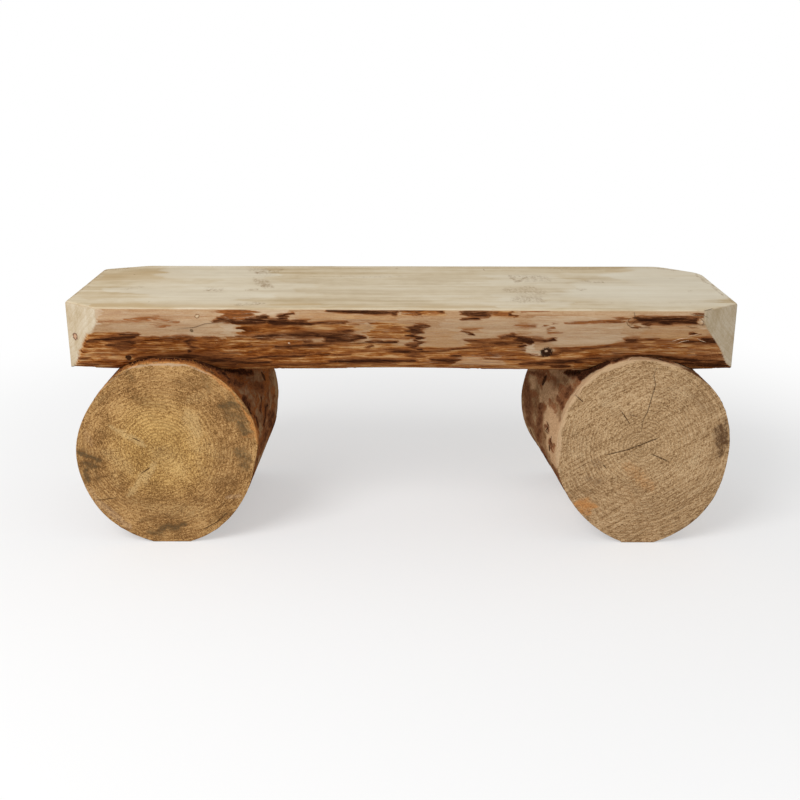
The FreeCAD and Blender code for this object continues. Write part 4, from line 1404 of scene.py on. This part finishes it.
PALE_SPLINTERS = (
    ("seat", ((672, 341), (680, 338.6), (690, 337.4)), 1.5),
    ("seat", ((676, 343.4), (683, 341), (689, 340.2)), 1.2),
    ("seat", ((697, 338), (701, 340.4), (706, 342)), 1.6),
    ("seat", ((687, 336.2), (694, 334.8), (701, 333.4)), 1.3),
    ("seat", ((527, 349), (534, 350.4), (541, 350)), 1.5),
    ("seat", ((530, 353.5), (536, 355), (542, 354.4)), 1.2),
    ("seat", ((288, 343), (290.5, 343.8)), 1.4),
    ("right", ((628, 361), (630.6, 358.6), (633, 357.4)), 1.8),
    ("right", ((560, 452), (557.5, 446), (558, 438)), 1.2),
    ("right", ((572, 398), (577, 391), (584, 384)), 1.2),
)
DARK_FIBRES = (
    ("seat", ((626, 321), (628, 325), (632, 327.6), (638, 327)), 1.1),
    ("seat", ((631, 317.4), (628, 320), (630, 323.6)), 1.0),
    ("seat", ((638, 319.6), (634, 321.6), (631, 325)), 1.0),
    ("seat", ((640, 328.4), (646, 326.8), (652, 328)), .9),
    ("seat", ((690, 313.6), (696, 315.6), (703, 315), (708, 317.6)), 1.1),
    ("seat", ((700, 318), (704, 321.6), (702.6, 326)), 1.0),
    ("seat", ((694, 322), (700, 325), (706, 324)), .9),
    ("seat", ((686, 325.6), (692, 327.6), (698, 326.4)), .9),
    ("seat", ((634, 311.6), (635, 316), (633.6, 320)), .9),
    ("seat", ((704, 311), (711, 308.8), (718, 306)), 1.0),
    ("seat", ((177, 329), (195, 327), (205, 323.6), (230, 321)), .9),
    ("seat", ((463, 331), (468, 334), (475, 335.4)), .9),
    ("seat", ((350, 343.6), (368, 342), (399, 342.6)), 1.1),
    ("seat", ((218, 352), (226, 353.4), (238, 352.8)), 1.0),
    ("right", ((547, 421), (549, 426), (546, 431), (549, 434)), 1.6),
    ("right", ((552, 436), (550.6, 441), (553, 446)), 1.2),
)
# Frayed fibres of bark stand along this line on the left leg
RUST_FIBRE_LINE = (
    (118, 373), (128, 366.4), (140, 363), (152, 361.2), (170, 361), (187, 361.6), (200, 365), (214, 372),
)
RUST_FIBRES = 64
FRAY_SEED = 71


def seen_at(tree, x, y):
    """Where the line of sight through a place in the photograph meets a piece, and its normal there."""
    aim = from_frame(x, y, 0.0) - CAMERA_PLACE
    hit, normal = tree.ray_cast(Vector(CAMERA_PLACE * MM), Vector(aim).normalized())[:2]
    return None if hit is None else (np.array(hit) / MM, np.array(normal))


def thread(points, faces, line, width):
    """A thin four-sided thread along a line of points, pointed at both ends."""
    count = len(line)
    ahead = np.gradient(line, axis=0)
    ahead = ahead / np.linalg.norm(ahead, axis=1)[:, None]
    across = np.cross(ahead, (0.0, -0.3, 1.0))
    across = across / np.linalg.norm(across, axis=1)[:, None]
    up = np.cross(across, ahead)
    share = np.linspace(0.02, 0.98, count)
    half = 0.5 * width * np.sqrt(4 * share * (1 - share))[:, None]
    start = sum(len(p) for p in points)
    corners = [line + across * half, line + up * half * 0.6, line - across * half, line - up * half * 0.6]
    points.append(np.stack(corners, 1).reshape(-1, 3))
    for face in tube_faces(count, 4):
        faces.append([start + index for index in face])
    faces.append([start, start + 1, start + 2, start + 3])
    faces.append([start + 4 * count - 1 - index for index in range(4)])


def fibre_material(name, dark, light):
    w = Shade(name)
    fine = w.noise((3.0, 3.0, 3.0), 4.0, 0.7)
    return w.finish(w.ramp(fine, (0.34, dark), (0.66, light)), w.between(fine, 0.7, 0.9), fine, 0.2)


def add_fibres(kind, lines, dark, light, lift=0.7):
    """One piece made of many thin threads lying on the log where the photograph shows them."""
    points, faces = [], []
    pieces = {"seat": seat, **legs}
    sights = {key: tree_of(pieces[key]) for key in sorted({line[0] for line in lines})}
    for key, places, width in lines:
        steps = np.linspace(0, len(places) - 1, 4 * (len(places) - 1) + 1)
        xs = np.interp(steps, range(len(places)), [p[0] for p in places])
        ys = np.interp(steps, range(len(places)), [p[1] for p in places])
        found = [seen_at(sights[key], x, y) for x, y in zip(xs, ys)]
        found = [f for f in found if f is not None]
        if len(found) < 3:
            continue
        line = np.array([hit + normal * lift for hit, normal in found])
        line[:, 1] = np.maximum(line[:, 1], cad_box[0][1] / MM + width)
        line[:, 2] = np.minimum(line[:, 2], SEAT_TOP - width)
        thread(points, faces, line, width)
    made = make_object(kind + "s", np.concatenate(points), faces)
    made.data.materials.append(fibre_material(kind + "_look", dark, light))
    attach(made, "root")


def rust_fibres():
    """Short frayed fibres of bark along the top of the left leg's cut end."""
    line = np.array(RUST_FIBRE_LINE)
    numbers = range(len(line))
    rows = []
    for number, t in enumerate(np.linspace(0, len(line) - 1, RUST_FIBRES)):
        roll = lattice(np.full(5, number), np.arange(5), np.zeros(5), FRAY_SEED)
        x = np.interp(t, numbers, line[:, 0]) + 3 * (roll[0] - 0.5)
        y = np.interp(t, numbers, line[:, 1]) + 0.8 * (roll[1] - 0.5)
        lean = 5 * (roll[2] - 0.5)
        rise = 0.8 + 2.6 * roll[3] ** 2
        places = ((x, y), (x + 0.6 * lean, y - 0.6 * rise), (x + lean, y - rise))
        rows.append(("left", places, 0.9 + 0.7 * roll[4]))
    return rows


add_fibres("pale_splinter", PALE_SPLINTERS, (.60, .39, .23), (.86, .64, .44))
add_fibres("dark_fibre", DARK_FIBRES, (.030, .012, .006), (.12, .055, .026))
add_fibres("rust_fibre", rust_fibres(), (.26, .075, .016), (.58, .26, .075), 0.4)

seat.data.materials.append(seat_material())
for side, made in legs.items():
    made.data.materials.append(leg_material(side, LEG_TONES[side]))


# Screws and washers


def steel_material():
    """Zinc-plated steel: soft grey patches of plating, fine turning marks and a few dull spots."""
    w = Shade("zinc_steel_look")
    plate = w.noise((4.0, 4.0, 4.0), 3.0, 0.6, 2.0)
    turned = w.noise((9.0, 9.0, 0.5), 3.0, 0.6, 6.0)
    dull = w.mask(w.noise((2.2, 2.2, 2.2), 4.0, 0.7, 8.0), 0.60, 0.74)
    grey = w.plus((plate, 0.7), (turned, 0.3))
    colour = w.ramp(grey, (0.35, (.42, .43, .43)), (0.5, (.58, .59, .58)), (0.66, (.70, .70, .66)))
    colour = w.over(colour, dull, 0.6, (.30, .29, .26))
    w.surface.inputs["Metallic"].default_value = 1.0
    height = w.plus((plate, 0.5), (turned, 0.5), (dull, -0.4))
    return w.finish(colour, w.between(dull, 0.34, 0.62), height, 0.12)


steel = steel_material()
for name in NODES:
    if name.startswith(("lag_screw", "washer")):
        for place in NODES[name].material_slots:
            place.link = "OBJECT"
            place.material = steel


# Floor and light, in metres

FLOOR_DROP = 0.0002
FLOOR_CORNERS = ((-30, -30), (30, -30), (30, 60), (-30, 60))
WORLD_STRENGTH = 0.56
KEY_PLACE = (-1.9, -2.6, 3.0)
KEY_AIM = (0, 0, 0.25)
KEY_SIZE = 2.0
KEY_POWER = 104


def camera_sees(tree):
    """1 for camera, gloss and transmission rays, 0 for the rays that light the object."""
    rays = tree.nodes.new("ShaderNodeLightPath").outputs
    total = rays["Is Camera Ray"]
    for name in ("Is Glossy Ray", "Is Transmission Ray"):
        total = put(tree, "Math", {0: total, 1: rays[name]}, operation="MAXIMUM")
    return total


def floor_material():
    """Matt and near white. The camera sees it fade to white far off, and from below it is clear."""
    w = Shade("pale_floor")
    w.surface.inputs["Base Color"].default_value = (0.93, 0.93, 0.93, 1)
    w.surface.inputs["Roughness"].default_value = 0.95
    w.surface.inputs["Specular IOR Level"].default_value = 0.0
    lit = w.surface.outputs[0]
    fade = {"Value": w.length(w.place), "From Min": 0.75, "From Max": 1.7, "To Min": 0.45, "To Max": 1.0}
    fade = w.put("MapRange", fade, interpolation_type="SMOOTHSTEP")
    paler = w.put("MixShader", {0: fade, 1: lit, 2: w.put("Emission", {})})
    seen = w.put("MixShader", {0: camera_sees(w.tree), 1: lit, 2: paler})
    below = w.put("NewGeometry", {}, "Backfacing")
    clear = w.put("MixShader", {0: below, 1: seen, 2: w.put("BsdfTransparent", {})})
    w.tree.links.new(clear, w.tree.nodes["Material Output"].inputs["Surface"])
    return w.material


floor_mesh = bpy.data.meshes.new("floor")
floor_mesh.from_pydata([(x, y, -FLOOR_DROP) for x, y in FLOOR_CORNERS], [], [(0, 1, 2, 3)])
floor = bpy.data.objects.new("floor", floor_mesh)
bpy.context.scene.collection.objects.link(floor)
floor_mesh.materials.append(floor_material())

# The world lights the bench softly and looks white
world = bpy.data.worlds.new("world")
world.use_nodes = True
background = world.node_tree.nodes["Background"]
background.inputs["Color"].default_value = (1, 1, 1, 1)
background.inputs["Strength"].default_value = WORLD_STRENGTH
white = put(world.node_tree, "Background", {"Color": (1, 1, 1, 1)})
sky = {0: camera_sees(world.node_tree), 1: background.outputs[0], 2: white}
sky = put(world.node_tree, "MixShader", sky)
world.node_tree.links.new(sky, world.node_tree.nodes["World Output"].inputs["Surface"])
bpy.context.scene.world = world

key = bpy.data.lights.new("key", "AREA")
key.energy = KEY_POWER
key.size = KEY_SIZE
key_lamp = bpy.data.objects.new("key", key)
key_lamp.location = KEY_PLACE
aim = Vector(KEY_AIM) - Vector(KEY_PLACE)
key_lamp.rotation_euler = aim.to_track_quat("-Z", "Y").to_euler()
bpy.context.scene.collection.objects.link(key_lamp)

bpy.context.scene.view_settings.view_transform = "Standard"
